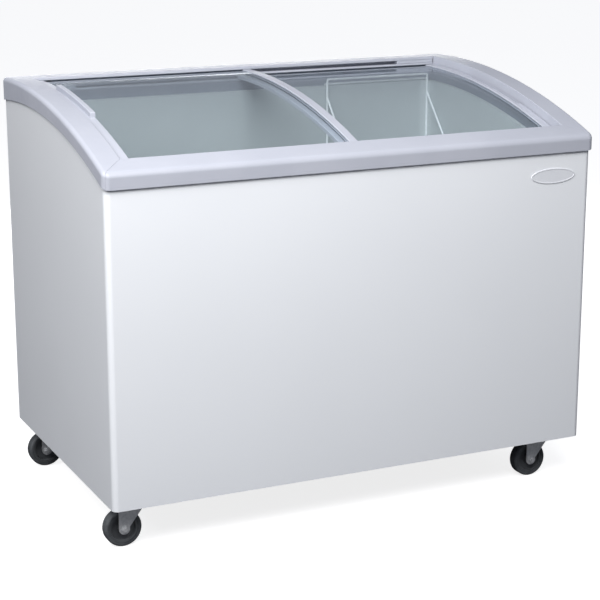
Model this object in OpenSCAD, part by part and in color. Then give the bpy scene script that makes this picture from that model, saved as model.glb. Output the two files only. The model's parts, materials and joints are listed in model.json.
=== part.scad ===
// Display chest freezer with two curved sliding glass lids, on four swivel castors.
// Frame: origin on the floor under the middle of the cabinet, +X to the right seen from the front,
// the front faces -Y, +Z is up.  Millimetres.

/* [Cabinet] */
// Width of the painted body
body_w = 1050; // [960:10:1200]
// Depth of the painted body
body_d = 636; // [600:2:680]
// Height from the floor to the underside of the body
castor_h = 95; // [93:1:100]
// Height of the top frame's crest above the underside of the body
rear_h = 755; // [735:5:800]
// How far the curved top falls from its crest to the front edge
top_drop = 102; // [90:1:110]
// Distance from the crest of the curved top to the rear face
crest_back = 76; // [60:1:90]
// Thickness of the painted steel sheets
sheet_t = 1.2; // [0.8:0.1:1.5]
// Radius of the body's upright front edges
body_edge_r = 12; // [8:1:16]
// Thickness of the insulated side walls
wall_t = 68; // [64:1:76]

/* [Top frame] */
// How far the frame stands out past the body's sides
frame_side_out = 4; // [3:0.5:6]
// How far the frame stands out past the body's front and rear
frame_nose_out = 6; // [4:0.5:8]
// Width of the side members, measured from the body's side
side_member_w = 46; // [40:1:52]
// Depth of the front rail, measured from the body's front
front_rail_d = 42; // [38:1:46]
// Depth of the rear rail, measured from the body's rear
rear_rail_d = 58; // [54:1:62]
// Thickness of the frame's top skin
frame_skin = 6; // [5:0.5:7]
// Thickness of the frame's skirts
skirt_t = 2.6; // [2:0.1:3]

/* [Lids] */
// Thickness of the curved glass
glass_t = 4; // [4:0.5:5]
// Depth of the upper pane below the frame's top surface
upper_level = 8; // [8:0.5:9]
// Depth of the lower pane below the frame's top surface
lower_level = 20; // [20:0.5:21]
// Width of the strips along the lids' side edges
strip_w = 19; // [16:1:22]
// Overlap of one lid past the middle of the cabinet
lid_overlap = 15; // [12:1:20]
// How far the panes reach into their side strips
glass_in = 7; // [6:0.5:8]
// Length of the raised finger grip
grip_len = 210; // [160:10:240]
// Length of the stop blocks at the ends of the rear tracks
stop_len = 94; // [80:1:110]

/* [Basket] */
// Width of the hanging wire basket
basket_w = 262; // [220:2:280]
// Depth of the basket's box below its rim
basket_h = 190; // [150:5:210]
// How far the basket's rim hangs below its front hook
basket_drop = 68; // [40:2:90]
// Radius of the basket's thick rim wire
rim_r = 2.5; // [2:0.1:3]
// Radius of the basket's thin wire
wire_r = 1.5; // [1.2:0.1:1.8]

/* [Castors] */
// Outer diameter of the castor wheels
wheel_d = 75; // [70:1:75]
// Width of the tyres
tyre_w = 24; // [20:1:26]
// Distance from the swivel axis back to the axle
castor_trail = 24; // [20:1:28]
// Distance of the swivel axes from the body's sides
castor_side_in = 62; // [55:1:70]
// Distance of the swivel axes from the body's front and rear
castor_front_in = 66; // [60:1:72]
// Direction in which the wheels trail, from +X
trail_angle = 180; // [0:1:359]

/* [Machine space] */
// Width of the machine space at the right end
machine_w = 290; // [270:5:310]
// Height of the machine space above the underside of the body
machine_h = 235; // [225:5:250]
// Outer radius of the compressor's shell
compressor_r = 76; // [68:1:80]

/* [Hidden] */

$fn = 48;
arc_fn = 720;
front_y = -body_d / 2;
rear_y = body_d / 2;
half_w = body_w / 2;
base_z = castor_h;
top_z = base_z + rear_h;

// Circular arc of the curved top, seen from the side
top_run = body_d - crest_back;
top_r = (top_run * top_run + top_drop * top_drop) / (2 * top_drop);
top_cy = front_y + top_run;
top_cz = top_z - top_r;

// Flatter arc of the frame's lower edge
skirt_run = body_d - 156;
skirt_front_z = top_z - top_drop - 31;
skirt_crest_z = top_z - 40;
skirt_fall = skirt_crest_z - skirt_front_z;
skirt_r = (skirt_run * skirt_run + skirt_fall * skirt_fall) / (2 * skirt_fall);
skirt_cy = front_y + skirt_run;
skirt_cz = skirt_crest_z - skirt_r;
sheet_tuck = 14;

frame_edge_r = 14;

// Lid tracks, as depths below the top surface
track_play = 0.6;
slide_skin = 1.4;
upper_slot = [upper_level - slide_skin - track_play, upper_level + glass_t + slide_skin + track_play];
lower_slot = [lower_level - slide_skin - track_play, lower_level + glass_t + slide_skin + track_play];
lip_level = lower_slot[1] + 4;
collar_level = lip_level + 22;

// Places along Y of the tracks and panes
slot_front_y = front_y + 22;
slot_rear_y = rear_y - 38;
glass_front_y = slot_front_y + 3.5;
glass_rear_y = slot_rear_y - 3.5;
rail_front_edge_y = front_y + front_rail_d;
rail_rear_edge_y = rear_y - rear_rail_d;

// Places along X of the lids
member_x = half_w - side_member_w;
lid_outer_x = member_x - 2;
left_x0 = -lid_outer_x;
ridge_front_y = front_y + 240;
pocket_front_y = front_y + 190;
grip_w = 11;
stop_x = member_x - stop_len;
mitre_rear = (rear_rail_d + frame_nose_out) / (side_member_w + frame_side_out);

// Inner tub
tub_x = half_w - wall_t;
tub_front_y = front_y + wall_t + 2;
tub_rear_y = rear_y - wall_t - 2;
tub_floor_z = base_z + 65;
tub_step_x = half_w - machine_w - 45;
tub_step_z = base_z + machine_h + 18;
collar_in_x = tub_x + 8;
collar_front_y = tub_front_y - 12;
collar_rear_y = tub_rear_y + 12;
machine_x = half_w - machine_w;
machine_z = base_z + machine_h;

// Basket
basket_x1 = tub_x - 2;
basket_x0 = basket_x1 - basket_w;
basket_front_y = tub_front_y + 6;
basket_rear_y = tub_rear_y - 6;

// Machine space and drain
compressor_x = half_w - 130;
compressor_y = rear_y - 140;
compressor_z = base_z + 26;
drier_x = machine_x + 60;
drier_y = rear_y - 66;
drier_z = base_z + 60;
grille_x0 = machine_x + 12;
grille_x1 = half_w - 14;
grille_z0 = base_z + 8;
grille_z1 = machine_z - 8;
grille_t = 2.4;
grille_screw_in = 8;
knob_x = machine_x + 48;
knob_z = machine_z - 46;
gland_x = machine_x + 42;
gland_z = base_z + 36;
drain_x = 150 - half_w;
drain_y = rear_y - 110;
drain_r = 10;

// Castors
wheel_r = wheel_d / 2;
axle_r = 4;
kingpin_r = 5;
shaft_play = 0.05;
castor_x = half_w - castor_side_in;
castor_y = body_d / 2 - castor_front_in;
plate_t = 2.5;
crown_z = wheel_d + 4;

// Colours
white_paint = [0.94, 0.95, 0.97];
trim_grey = [0.84, 0.85, 0.92];
steel_grey = [0.7, 0.71, 0.73];
dark_rubber = [0.16, 0.16, 0.17];
copper = [0.78, 0.47, 0.3];

// ---------- shared shapes ----------

function arc_points(x, y, r, from, steps = 6) =
    [for (i = [0:steps]) [x + r * cos(from + 90 * i / steps), y + r * sin(from + 90 * i / steps)]];

// Rounded rectangle seen from above, centred on the cabinet
module rounded_plan(w, d, r) {
    polygon(concat(
        arc_points(w / 2 - r, d / 2 - r, r, 0),
        arc_points(r - w / 2, d / 2 - r, r, 90),
        arc_points(r - w / 2, r - d / 2, r, 180),
        arc_points(w / 2 - r, r - d / 2, r, 270)));
}

// Everything under the curved top, sunk by a depth
module under_top(depth) {
    translate([-body_w, top_cy, top_cz])
        rotate([0, 90, 0])
            cylinder(r = top_r - depth, h = 2 * body_w, $fn = arc_fn);
}

// Everything under the frame's lower edge, raised by a height
module under_skirt(rise) {
    translate([-body_w, skirt_cy, skirt_cz])
        rotate([0, 90, 0])
            cylinder(r = skirt_r + rise, h = 2 * body_w, $fn = arc_fn);
}

module block(x0, x1, y0, y1, z0, z1) {
    translate([x0, y0, z0]) cube([x1 - x0, y1 - y0, z1 - z0]);
}

// Curved slab between two depths below the top surface
module curved_slab(x0, x1, y0, y1, depth0, depth1) {
    intersection() {
        block(x0, x1, y0, y1, base_z + 300, top_z + 60);
        difference() {
            under_top(depth0);
            under_top(depth1);
        }
    }
}

// Tube bent through 90 degrees, in the XY plane round the origin
module bend(bend_r, tube_r, from) {
    rotate([0, 0, from])
        rotate_extrude(angle = 90)
            translate([bend_r, 0]) circle(r = tube_r, $fn = 16);
}

module bar_x(x0, x1, y, z, r, sides = 16) {
    translate([x0, y, z]) rotate([0, 90, 0]) cylinder(r = r, h = x1 - x0, $fn = sides);
}

module bar_y(x, y0, y1, z, r, sides = 16) {
    translate([x, y0, z]) rotate([-90, 0, 0]) cylinder(r = r, h = y1 - y0, $fn = sides);
}

module bar_z(x, y, z0, z1, r, sides = 16) {
    translate([x, y, z0]) cylinder(r = r, h = z1 - z0, $fn = sides);
}

// ---------- cabinet ----------

// Front and both sides in one folded sheet
module outer_wrap() {
    color(white_paint)
        intersection() {
            difference() {
                translate([0, 0, base_z])
                    linear_extrude(rear_h) rounded_plan(body_w, body_d, body_edge_r);
                translate([0, 0, base_z - 1])
                    linear_extrude(rear_h + 2)
                        rounded_plan(body_w - 2 * sheet_t, body_d - 2 * sheet_t, body_edge_r - sheet_t);
                block(-half_w - 1, half_w + 1, rear_y - body_edge_r - 1, rear_y + 1, base_z - 1, top_z + 9);
            }
            under_skirt(sheet_tuck);
        }
}

module grille_opening(y0, y1) {
    block(machine_x + 25, half_w - 28, y0, y1, base_z + 22, machine_z - 22);
}

// Flat rear sheet with folded side flanges and the opening of the machine space
module rear_panel() {
    rear_edge_r = 6;
    color(white_paint)
        intersection() {
            difference() {
                translate([0, 0, base_z])
                    linear_extrude(rear_h) rounded_plan(body_w, body_d, rear_edge_r);
                translate([0, 0, base_z - 1])
                    linear_extrude(rear_h + 2)
                        rounded_plan(body_w - 2 * sheet_t, body_d - 2 * sheet_t, rear_edge_r - sheet_t);
                block(-half_w - 1, half_w + 1, front_y - 1, rear_y - body_edge_r - 0.8, base_z - 1, top_z + 9);
                grille_opening(rear_y - 5, rear_y + 1);
            }
            under_skirt(sheet_tuck);
        }
}

// Bottom tray with folded edges, holes for the castor bolts and the drain
module base_pan() {
    lip = sheet_t + 0.2;
    color(steel_grey)
        difference() {
            translate([0, 0, base_z])
                linear_extrude(22) rounded_plan(body_w - 2 * lip, body_d - 2 * lip, body_edge_r - lip);
            translate([0, 0, base_z + 2])
                linear_extrude(30)
                    rounded_plan(body_w - 2 * lip - 3, body_d - 2 * lip - 3, body_edge_r - lip - 1.5);
            for (sx = [-1, 1], sy = [-1, 1])
                at_bolts(sx, sy) cylinder(r = 3.3, h = 12, center = true);
            translate([drain_x, drain_y, base_z - 1]) cylinder(r = drain_r + 2.2, h = 10);
        }
}

// Foam filling between the sheets and the tub, set back where the tubes lie
module foam_insulation() {
    tube_room = 9.8;
    skin_room = 7;
    color([0.93, 0.86, 0.66])
        intersection() {
            difference() {
                block(skin_room - half_w, half_w - skin_room, front_y + skin_room, rear_y - skin_room,
                    base_z + 7, top_z);
                tub_block(tube_room, 0);
                block(machine_x - 2, half_w, front_y, rear_y, base_z, machine_z + 2);
                block(-half_w, half_w, front_y, front_y + skin_room + 1, base_z, base_z + 24);
                translate([drain_x, drain_y, base_z]) cylinder(r = drain_r + 2, h = 90);
                pan_rim_room();
            }
            under_top(collar_level + 4);
        }
}

module pan_rim_room() {
    difference() {
        block(-half_w, half_w, front_y, rear_y, base_z, base_z + 23);
        block(9 - half_w, half_w - 9, front_y + 9, rear_y - 9, base_z - 1, base_z + 24);
    }
}

// Outside shape of the stepped tub, grown by a margin on the sides and below
module tub_block(side_grow, floor_grow) {
    block(-tub_x - side_grow, tub_step_x + side_grow, tub_front_y - side_grow, tub_rear_y + side_grow,
        tub_floor_z - floor_grow, top_z + 20);
    block(tub_step_x - 1, tub_x + side_grow, tub_front_y - side_grow, tub_rear_y + side_grow,
        tub_step_z - floor_grow, top_z + 20);
}

// Stepped inner tub with a ledge all round its mouth
module liner() {
    color([0.9, 0.92, 0.93])
        intersection() {
            difference() {
                union() {
                    tub_block(sheet_t, 0);
                    intersection() {
                        block(-collar_in_x - 10, collar_in_x + 10, collar_front_y - 10, collar_rear_y + 10,
                            tub_step_z, top_z);
                        difference() {
                            under_top(collar_level);
                            under_top(collar_level + 2);
                        }
                    }
                }
                translate([0, 0, sheet_t]) tub_block(0, 0);
                translate([drain_x, drain_y, tub_floor_z - 1]) cylinder(r = drain_r + 0.2, h = 10);
            }
            under_top(collar_level);
        }
}

// Plastic collar that closes the gap between the frame and the tub
module breaker_collar() {
    color([0.72, 0.73, 0.78])
        intersection() {
            difference() {
                block(0.2 - member_x, member_x - 0.2, collar_front_y - 10, collar_rear_y + 4, base_z, top_z);
                block(-collar_in_x, collar_in_x, collar_front_y, collar_rear_y, base_z - 1, top_z + 1);
                difference() {
                    under_top(lip_level + 3);
                    block(-collar_in_x - 3, collar_in_x + 3, collar_front_y - 3, collar_rear_y + 3,
                        base_z - 1, top_z + 1);
                }
                under_top(collar_level);
            }
            under_top(lip_level + 0.2);
        }
}

// Cooling tube wound round the tub, with a riser joining the turns
module evaporator_tube() {
    tube_r = 3.8;
    off_wall = sheet_t + tube_r + 0.9;
    side = tub_x + off_wall;
    front = tub_front_y - off_wall;
    rear = tub_rear_y + off_wall;
    turns = 6;
    pitch = 48;
    bend_r = 6;
    color(copper) {
        for (i = [0:turns - 1]) {
            z = tub_step_z + 12 + pitch * i;
            bar_x(-side + bend_r, side - bend_r, front, z, tube_r);
            bar_x(-side + bend_r, side - bend_r, rear, z, tube_r);
            bar_y(-side, front + bend_r, rear - bend_r, z, tube_r);
            bar_y(side, front + bend_r, rear - bend_r, z, tube_r);
            translate([side - bend_r, rear - bend_r, z]) bend(bend_r, tube_r, 0);
            translate([bend_r - side, rear - bend_r, z]) bend(bend_r, tube_r, 90);
            translate([bend_r - side, front + bend_r, z]) bend(bend_r, tube_r, 180);
            translate([side - bend_r, front + bend_r, z]) bend(bend_r, tube_r, 270);
        }
        bar_z(side - 60, rear, tub_step_z + 12, tub_step_z + 12 + pitch * (turns - 1), tube_r - 0.6);
    }
}

// Warm tube run in a serpentine behind the front sheet
module condenser_tube() {
    tube_r = 2.5;
    y = front_y + sheet_t + tube_r + 0.3;
    runs = 8;
    pitch = 60;
    reach = half_w - 70;
    color(copper)
        for (i = [0:runs - 1]) {
            z = base_z + 60 + pitch * i;
            bar_x(-reach, reach, y, z, tube_r);
            if (i < runs - 1)
                translate([i % 2 == 0 ? reach : -reach, y, z + pitch / 2])
                    rotate([90, i % 2 == 0 ? 0 : 180, 0])
                        rotate([0, 0, -90])
                            rotate_extrude(angle = 180)
                                translate([pitch / 2, 0]) circle(r = tube_r, $fn = 16);
        }
}

module badge() {
    color([0.86, 0.87, 0.9])
        translate([half_w - 90, front_y, base_z + 572])
            rotate([90, 0, 0])
                difference() {
                    scale([1, 0.3, 1]) cylinder(r = 52, h = 1.6, $fn = 96);
                    translate([0, 0, 1]) scale([1, 0.27, 1]) cylinder(r = 48, h = 2, $fn = 96);
                }
}

// ---------- top frame ----------

// Hollow ring of the whole frame before it is cut into members
module frame_ring() {
    difference() {
        intersection() {
            translate([0, 0, base_z + 500])
                linear_extrude(rear_h - 400)
                    rounded_plan(body_w + 2 * frame_side_out, body_d + 2 * frame_nose_out, frame_edge_r);
            under_top(0);
        }
        under_skirt(0);
        block(-member_x, member_x, rail_front_edge_y, rail_rear_edge_y, base_z, top_z + 50);
        intersection() {
            translate([0, 0, base_z + 400])
                linear_extrude(rear_h)
                    rounded_plan(body_w + 2 * (frame_side_out - skirt_t),
                        body_d + 2 * (frame_nose_out - skirt_t), frame_edge_r - skirt_t);
            under_top(frame_skin);
            union() {
                difference() {
                    block(-half_w - 10, half_w + 10, front_y - 10, rear_y + 10, base_z, top_z + 1);
                    block(-member_x - skirt_t, member_x + skirt_t, rail_front_edge_y - skirt_t,
                        rail_rear_edge_y + skirt_t, base_z - 1, top_z + 2);
                }
            }
        }
    }
}

// Plan area of one side member, cut on mitres at its ends
module side_wedge(side) {
    far = half_w + 20;
    translate([0, 0, base_z + 500])
        linear_extrude(rear_h - 300)
            polygon([
                [side * (member_x - 0.2), rail_front_edge_y],
                [side * far, rail_front_edge_y - (far - member_x)],
                [side * far, rail_rear_edge_y + (far - member_x) * mitre_rear],
                [side * (member_x - 0.2), rail_rear_edge_y]
            ]);
}

module side_frame(side) {
    color(trim_grey)
        intersection() {
            frame_ring();
            side_wedge(side);
        }
}

// Two stacked tracks that the lids' edges run in
module track_block(edge_y, slot_y, back_y) {
    low = min(edge_y, back_y);
    high = max(edge_y, back_y);
    slot_low = min(edge_y, slot_y) - (edge_y < slot_y ? 1 : 0);
    slot_high = max(edge_y, slot_y) + (edge_y < slot_y ? 0 : 1);
    difference() {
        curved_slab(-member_x + 0.2, member_x - 0.2, low, high, frame_skin - 1, lip_level);
        curved_slab(-half_w, half_w, slot_low, slot_high, upper_slot[0], upper_slot[1]);
        curved_slab(-half_w, half_w, slot_low, slot_high, lower_slot[0], lower_slot[1]);
    }
}

module front_rail() {
    color(trim_grey) {
        difference() {
            frame_ring();
            side_wedge(1);
            side_wedge(-1);
            block(-half_w - 20, half_w + 20, front_y + 160, rear_y + 20, base_z, top_z + 20);
            curved_slab(-half_w, half_w, slot_front_y, rail_front_edge_y + 1, upper_slot[0], 200);
        }
        track_block(rail_front_edge_y, slot_front_y, slot_front_y - skirt_t);
    }
}

module rear_rail() {
    color(trim_grey) {
        difference() {
            frame_ring();
            side_wedge(1);
            side_wedge(-1);
            block(-half_w - 20, half_w + 20, front_y - 20, rear_y - 160, base_z, top_z + 20);
            curved_slab(-half_w, half_w, rail_rear_edge_y - 1, slot_rear_y, upper_slot[0], 200);
        }
        track_block(rail_rear_edge_y, slot_rear_y, slot_rear_y + skirt_t);
    }
}

// Block that closes the end of one rear track and stops a lid
module track_stop(x0, x1, slot) {
    color([0.88, 0.89, 0.94])
        curved_slab(x0, x1, rail_rear_edge_y + 1, slot_rear_y - 0.2, slot[0] + 0.1, slot[1] - 0.1);
}

module track_stop_right() { track_stop(stop_x, member_x - 0.4, upper_slot); }

module track_stop_left() { track_stop(0.4 - member_x, -stop_x, lower_slot); }

// ---------- lids ----------

module pane(x0, x1, level) {
    color([0.72, 0.8, 0.84, 0.45])
        curved_slab(x0, x1, glass_front_y, glass_rear_y, level, level + glass_t);
}

// Strip with a groove for the side edge of the pane; glass_side is the side that faces the glass
module edge_strip(x0, level, glass_side) {
    x1 = x0 + strip_w;
    difference() {
        curved_slab(x0, x1, rail_front_edge_y + 2, rail_rear_edge_y - 2, level - 2, level + glass_t + 1.8);
        curved_slab(glass_side > 0 ? x1 - glass_in : x0 - 1, glass_side > 0 ? x1 + 1 : x0 + glass_in,
            rail_front_edge_y, rail_rear_edge_y, level, level + glass_t);
    }
}

// Raised finger grip with an undercut, along the glass side of the upper lid's strip
module finger_ridge(x0, level) {
    y0 = ridge_front_y;
    difference() {
        curved_slab(x0, x0 + grip_w, y0, y0 + grip_len, level - 12, level - 1.9);
        curved_slab(x0 + 4, x0 + grip_w + 1, y0 + 8, y0 + grip_len - 8, level - 9, level - 4);
    }
}

// Sunk finger pull in the lower lid's strip, low enough to pass under the upper lid
module finger_pocket(x0, level) {
    y0 = pocket_front_y;
    difference() {
        curved_slab(x0, x0 + grip_w, y0, y0 + grip_len, level + glass_t + 1.7, level + glass_t + 4.2);
        finger_room(x0, level);
    }
}

module finger_room(x0, level) {
    y0 = pocket_front_y;
    curved_slab(x0 + 1.5, x0 + grip_w - 1.5, y0 + 3, y0 + grip_len - 3, level - 4, level + glass_t + 2.7);
}

// Front and rear runners clipped on the pane's curved ends
module slides(x0, x1, level) {
    color([0.55, 0.56, 0.6])
        for (end = [0, 1]) {
            y0 = end == 0 ? glass_front_y - 2 : glass_rear_y - 9;
            y1 = end == 0 ? glass_front_y + 9 : glass_rear_y + 2;
            difference() {
                curved_slab(x0, x1, y0, y1, level - slide_skin, level + glass_t + slide_skin);
                curved_slab(x0 - 1, x1 + 1, glass_front_y, glass_rear_y, level, level + glass_t);
            }
        }
}

module left_glass() { pane(left_x0 + strip_w - glass_in, lid_overlap - strip_w + glass_in, upper_level); }

module left_grip_strip() {
    color([0.9, 0.91, 0.96]) {
        edge_strip(left_x0, upper_level, 1);
        finger_ridge(left_x0 + strip_w - grip_w, upper_level);
    }
}

module left_inner_strip() {
    color([0.9, 0.91, 0.96]) edge_strip(lid_overlap - strip_w, upper_level, -1);
}

module left_slides() { slides(left_x0 + 1, lid_overlap - 1, upper_level); }

// Sealing brush under the upper lid's inner strip
module left_brush() {
    color([0.2, 0.2, 0.22])
        curved_slab(lid_overlap - strip_w + 3, lid_overlap - strip_w + 9, rail_front_edge_y + 4,
            rail_rear_edge_y - 4, upper_level + glass_t + 1.8, lower_level - 2.6);
}

module right_glass() { pane(strip_w - glass_in - lid_overlap, lid_outer_x - strip_w + glass_in, lower_level); }

module right_grip_strip() {
    x0 = lid_outer_x - strip_w;
    color([0.9, 0.91, 0.96]) {
        difference() {
            edge_strip(x0, lower_level, -1);
            finger_room(x0 + glass_in + 0.8, lower_level);
        }
        finger_pocket(x0 + glass_in + 0.8, lower_level);
    }
}

module right_inner_strip() {
    color([0.9, 0.91, 0.96]) edge_strip(-lid_overlap, lower_level, 1);
}

module right_slides() { slides(1 - lid_overlap, lid_outer_x - 1, lower_level); }

// ---------- basket ----------

function level_z(y, depth) = top_cz + sqrt(pow(top_r - depth, 2) - pow(y - top_cy, 2));

// Welded wire basket: a box hung low between a front hook and a tall rear hanger
module basket() {
    front_hook_z = level_z(tub_front_y, collar_level) + rim_r + 0.6;
    rear_hook_z = level_z(collar_rear_y - 6, collar_level) + rim_r + 0.6;
    rim_z = front_hook_z - basket_drop;
    x0 = basket_x0 + rim_r;
    x1 = basket_x1 - rim_r;
    y0 = basket_front_y + rim_r;
    y1 = basket_rear_y - rim_r;
    floor_z = rim_z - basket_h;
    hanger_z = rear_hook_z + 12;
    brace_below = 42;
    cross_wires = 8;
    long_wires = 6;
    color([0.9, 0.91, 0.92]) {
        bar_x(x0, x1, collar_front_y + 6, front_hook_z, rim_r, 8);
        bar_x(x0, x1, collar_rear_y - 6, rear_hook_z, rim_r, 8);
        bar_x(x0 - rim_r, x1 + rim_r, y1, hanger_z, rim_r, 8);
        for (y = [y0, y1])
            bar_x(x0, x1, y, rim_z, rim_r, 8);
        for (x = [x0, x1]) {
            bar_y(x, y0 - rim_r, y1 + rim_r, rim_z, rim_r, 8);
            bar_y(x, collar_front_y + 6 - rim_r, y0 + rim_r, front_hook_z, rim_r, 8);
            bar_y(x, y1 - rim_r, collar_rear_y - 6 + rim_r, rear_hook_z, rim_r, 8);
            bar_z(x, y0, rim_z, front_hook_z + rim_r, rim_r, 8);
            bar_z(x, y1, rim_z, hanger_z, rim_r, 8);
            brace(x, y1, hanger_z - brace_below, rim_z);
        }
        for (i = [0:cross_wires]) {
            y = y0 + (y1 - y0) * i / cross_wires;
            bar_x(x0, x1, y, floor_z, wire_r, 6);
            for (x = [x0, x1])
                bar_z(x, y, floor_z - wire_r, rim_z, wire_r, 6);
        }
        for (i = [0:long_wires]) {
            x = x0 + (x1 - x0) * i / long_wires;
            bar_y(x, y0, y1, floor_z + wire_r, wire_r, 6);
            for (y = [y0, y1])
                bar_z(x, y, floor_z, rim_z, wire_r, 6);
        }
        for (z = [floor_z + basket_h / 3, floor_z + 2 * basket_h / 3]) {
            for (y = [y0, y1])
                bar_x(x0 - wire_r, x1 + wire_r, y, z, wire_r, 6);
            for (x = [x0, x1])
                bar_y(x, y0 - wire_r, y1 + wire_r, z, wire_r, 6);
        }
    }
}

// Slanting wire from the upright of the rear hanger down to the side rim
module brace(x, y, z_high, z_low) {
    run = 105;
    fall = z_high - z_low;
    translate([x, y, z_high])
        rotate([90 + atan2(fall, run), 0, 0])
            cylinder(r = rim_r * 0.9, h = sqrt(run * run + fall * fall), $fn = 8);
}

// ---------- machine space ----------

module machine_shroud() {
    t = 1;
    color([0.62, 0.63, 0.66]) {
        block(machine_x - 1.5, half_w - 8, front_y + 9, rear_y - 3, machine_z - t, machine_z);
        block(machine_x - 1.5, machine_x - 1.5 + t, front_y + 9, rear_y - 3, base_z + 2.2, machine_z - t);
    }
}

// Sealed shell with domed ends, a welded seam and a foot plate
module compressor() {
    dome = 30;
    barrel = 96;
    seam_z = dome + barrel * 0.55;
    color([0.12, 0.12, 0.13])
        translate([compressor_x, compressor_y, compressor_z])
            difference() {
                union() {
                    rotate_extrude($fn = 64)
                        polygon(concat(
                            [[0, 0]],
                            [for (i = [0:6]) [compressor_r * sin(i * 15), dome - dome * cos(i * 15)]],
                            [[compressor_r, seam_z], [compressor_r + 3, seam_z],
                                [compressor_r + 3, seam_z + 5], [compressor_r, seam_z + 5]],
                            [for (i = [0:6]) [compressor_r * cos(i * 15), dome + barrel + dome * sin(i * 15)]]));
                    translate([-95, -62, -2]) cube([190, 124, 3]);
                }
                for (sx = [-1, 1], sy = [-1, 1])
                    translate([sx * 84, sy * 50, -5]) cylinder(r = 6.1, h = 10);
            }
}

// Rubber mounts under the compressor's foot plate
module compressor_feet() {
    color(dark_rubber)
        for (sx = [-1, 1], sy = [-1, 1])
            translate([compressor_x + sx * 84, compressor_y + sy * 50, base_z + 2])
                difference() {
                    union() {
                        cylinder(r = 11, h = 21.8);
                        cylinder(r = 6, h = 30);
                        translate([0, 0, 25.2]) cylinder(r = 9, h = 5);
                    }
                    translate([0, 0, -1]) cylinder(r = 3, h = 40);
                }
}

// Starter box clipped on the side of the compressor's shell
module relay_box() {
    color([0.08, 0.08, 0.09])
        difference() {
            translate([compressor_x - compressor_r - 26, compressor_y - 25, compressor_z + 32])
                cube([34, 50, 40]);
            translate([compressor_x, compressor_y, compressor_z]) cylinder(r = compressor_r + 0.2, h = 150);
            translate([compressor_x - compressor_r - 27, compressor_y - 21, compressor_z + 36])
                cube([2.5, 42, 32]);
        }
}

// Copper drier with necked ends
module filter_drier() {
    color(copper)
        translate([drier_x, drier_y, drier_z])
            rotate_extrude($fn = 32)
                polygon([[0, 0], [3, 0], [3, 12], [9.5, 24], [9.5, 96], [3, 108], [3, 122], [0, 122]]);
}

// Suction and discharge pipes, and the pipes that hang the drier
module refrigerant_pipes() {
    pipe_r = 3.2;
    pipe_x = 34;
    turn_r = 12;
    color(copper) {
        for (side = [-1, 1]) {
            x = compressor_x + side * pipe_x;
            y = compressor_y - compressor_r - 40;
            z = compressor_z + 60;
            shell_y = compressor_y - sqrt(pow(compressor_r, 2) - pow(pipe_x - pipe_r, 2)) - 0.3;
            bar_y(x, y + turn_r, shell_y, z, pipe_r);
            translate([x, y + turn_r, z + turn_r]) rotate([0, 90, 0]) rotate([0, 0, -90]) bend(turn_r, pipe_r, 0);
            bar_z(x, y, z + turn_r, machine_z - 1.4, pipe_r);
        }
        bar_z(drier_x, drier_y, drier_z + 122.2, machine_z - 1.4, pipe_r - 0.4);
        bar_x(machine_x + 1, drier_x - turn_r, drier_y, drier_z - 20, pipe_r - 0.4);
        translate([drier_x - turn_r, drier_y, drier_z - 20 + turn_r])
            rotate([90, 0, 0]) bend(turn_r, pipe_r - 0.4, 270);
        bar_z(drier_x, drier_y, drier_z - 20 + turn_r, drier_z - 0.2, pipe_r - 0.4);
    }
}

// Slotted cover of the machine space
module rear_grille() {
    slots = 8;
    slot_w = 100;
    slot_h = 6;
    slot_pitch = 14;
    row_pitch = (grille_x1 - grille_x0 - 34) / 2;
    color([0.3, 0.31, 0.33])
        difference() {
            block(grille_x0, grille_x1, rear_y, rear_y + grille_t, grille_z0, grille_z1);
            for (i = [0:slots - 1], row = [0:1]) {
                x = grille_x0 + 22 + row * row_pitch;
                z = grille_z0 + 46 + i * slot_pitch;
                block(x, x + slot_w, rear_y - 1, rear_y + 4, z, z + slot_h);
            }
            at_grille_screws() translate([0, 0, -4]) cylinder(r = 2.2, h = 6);
            translate([knob_x, rear_y - 1, knob_z]) rotate([-90, 0, 0]) cylinder(r = 15.5, h = 6);
            translate([gland_x, rear_y - 1, gland_z]) rotate([-90, 0, 0]) cylinder(r = 9, h = 6);
        }
}

// Puts its children at the four corners of the grille's outer face, pointing to the rear
module at_grille_screws() {
    for (x = [grille_x0 + grille_screw_in, grille_x1 - grille_screw_in])
        for (z = [grille_z0 + grille_screw_in, grille_z1 - grille_screw_in])
            translate([x, rear_y + grille_t, z]) rotate([-90, 0, 0]) children();
}

// Cross-head screws of the rear cover
module grille_screws() {
    color(steel_grey)
        at_grille_screws() {
            difference() {
                cylinder(r = 4, h = 2.2);
                translate([-0.5, -3, 1.2]) cube([1, 6, 2]);
                translate([-3, -0.5, 1.2]) cube([6, 1, 2]);
            }
            translate([0, 0, -2.2]) cylinder(r = 1.9, h = 2.3);
        }
}

module thermostat_body() {
    color([0.75, 0.76, 0.78])
        difference() {
            block(knob_x - 21, knob_x + 21, rear_y - 46, rear_y - 6, knob_z - 20, knob_z + 20);
            translate([knob_x, rear_y - 20, knob_z]) rotate([-90, 0, 0]) cylinder(r = 3 + shaft_play, h = 30);
        }
}

// Turning knob with a pointer rib, on a shaft that runs in the thermostat
module thermostat_knob() {
    color([0.2, 0.2, 0.22])
        translate([knob_x, rear_y, knob_z])
            rotate([-90, 0, 0]) {
                translate([0, 0, -18]) cylinder(r = 3, h = 17);
                difference() {
                    translate([0, 0, -3]) cylinder(r = 14, h = 8.5);
                    translate([0, 0, 4.3]) cylinder(r = 11, h = 3);
                }
                translate([-1.5, -10.5, 3.5]) cube([3, 21, 2.5]);
            }
}

// Entry for the mains lead
module cord_gland() {
    color([0.15, 0.15, 0.16])
        translate([gland_x, rear_y, gland_z])
            rotate([-90, 0, 0])
                difference() {
                    union() {
                        translate([0, 0, grille_t]) cylinder(r = 12, h = 3);
                        translate([0, 0, -6]) cylinder(r = 8.6, h = 10);
                    }
                    translate([0, 0, -7]) cylinder(r = 4, h = 20);
                }
}

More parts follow.
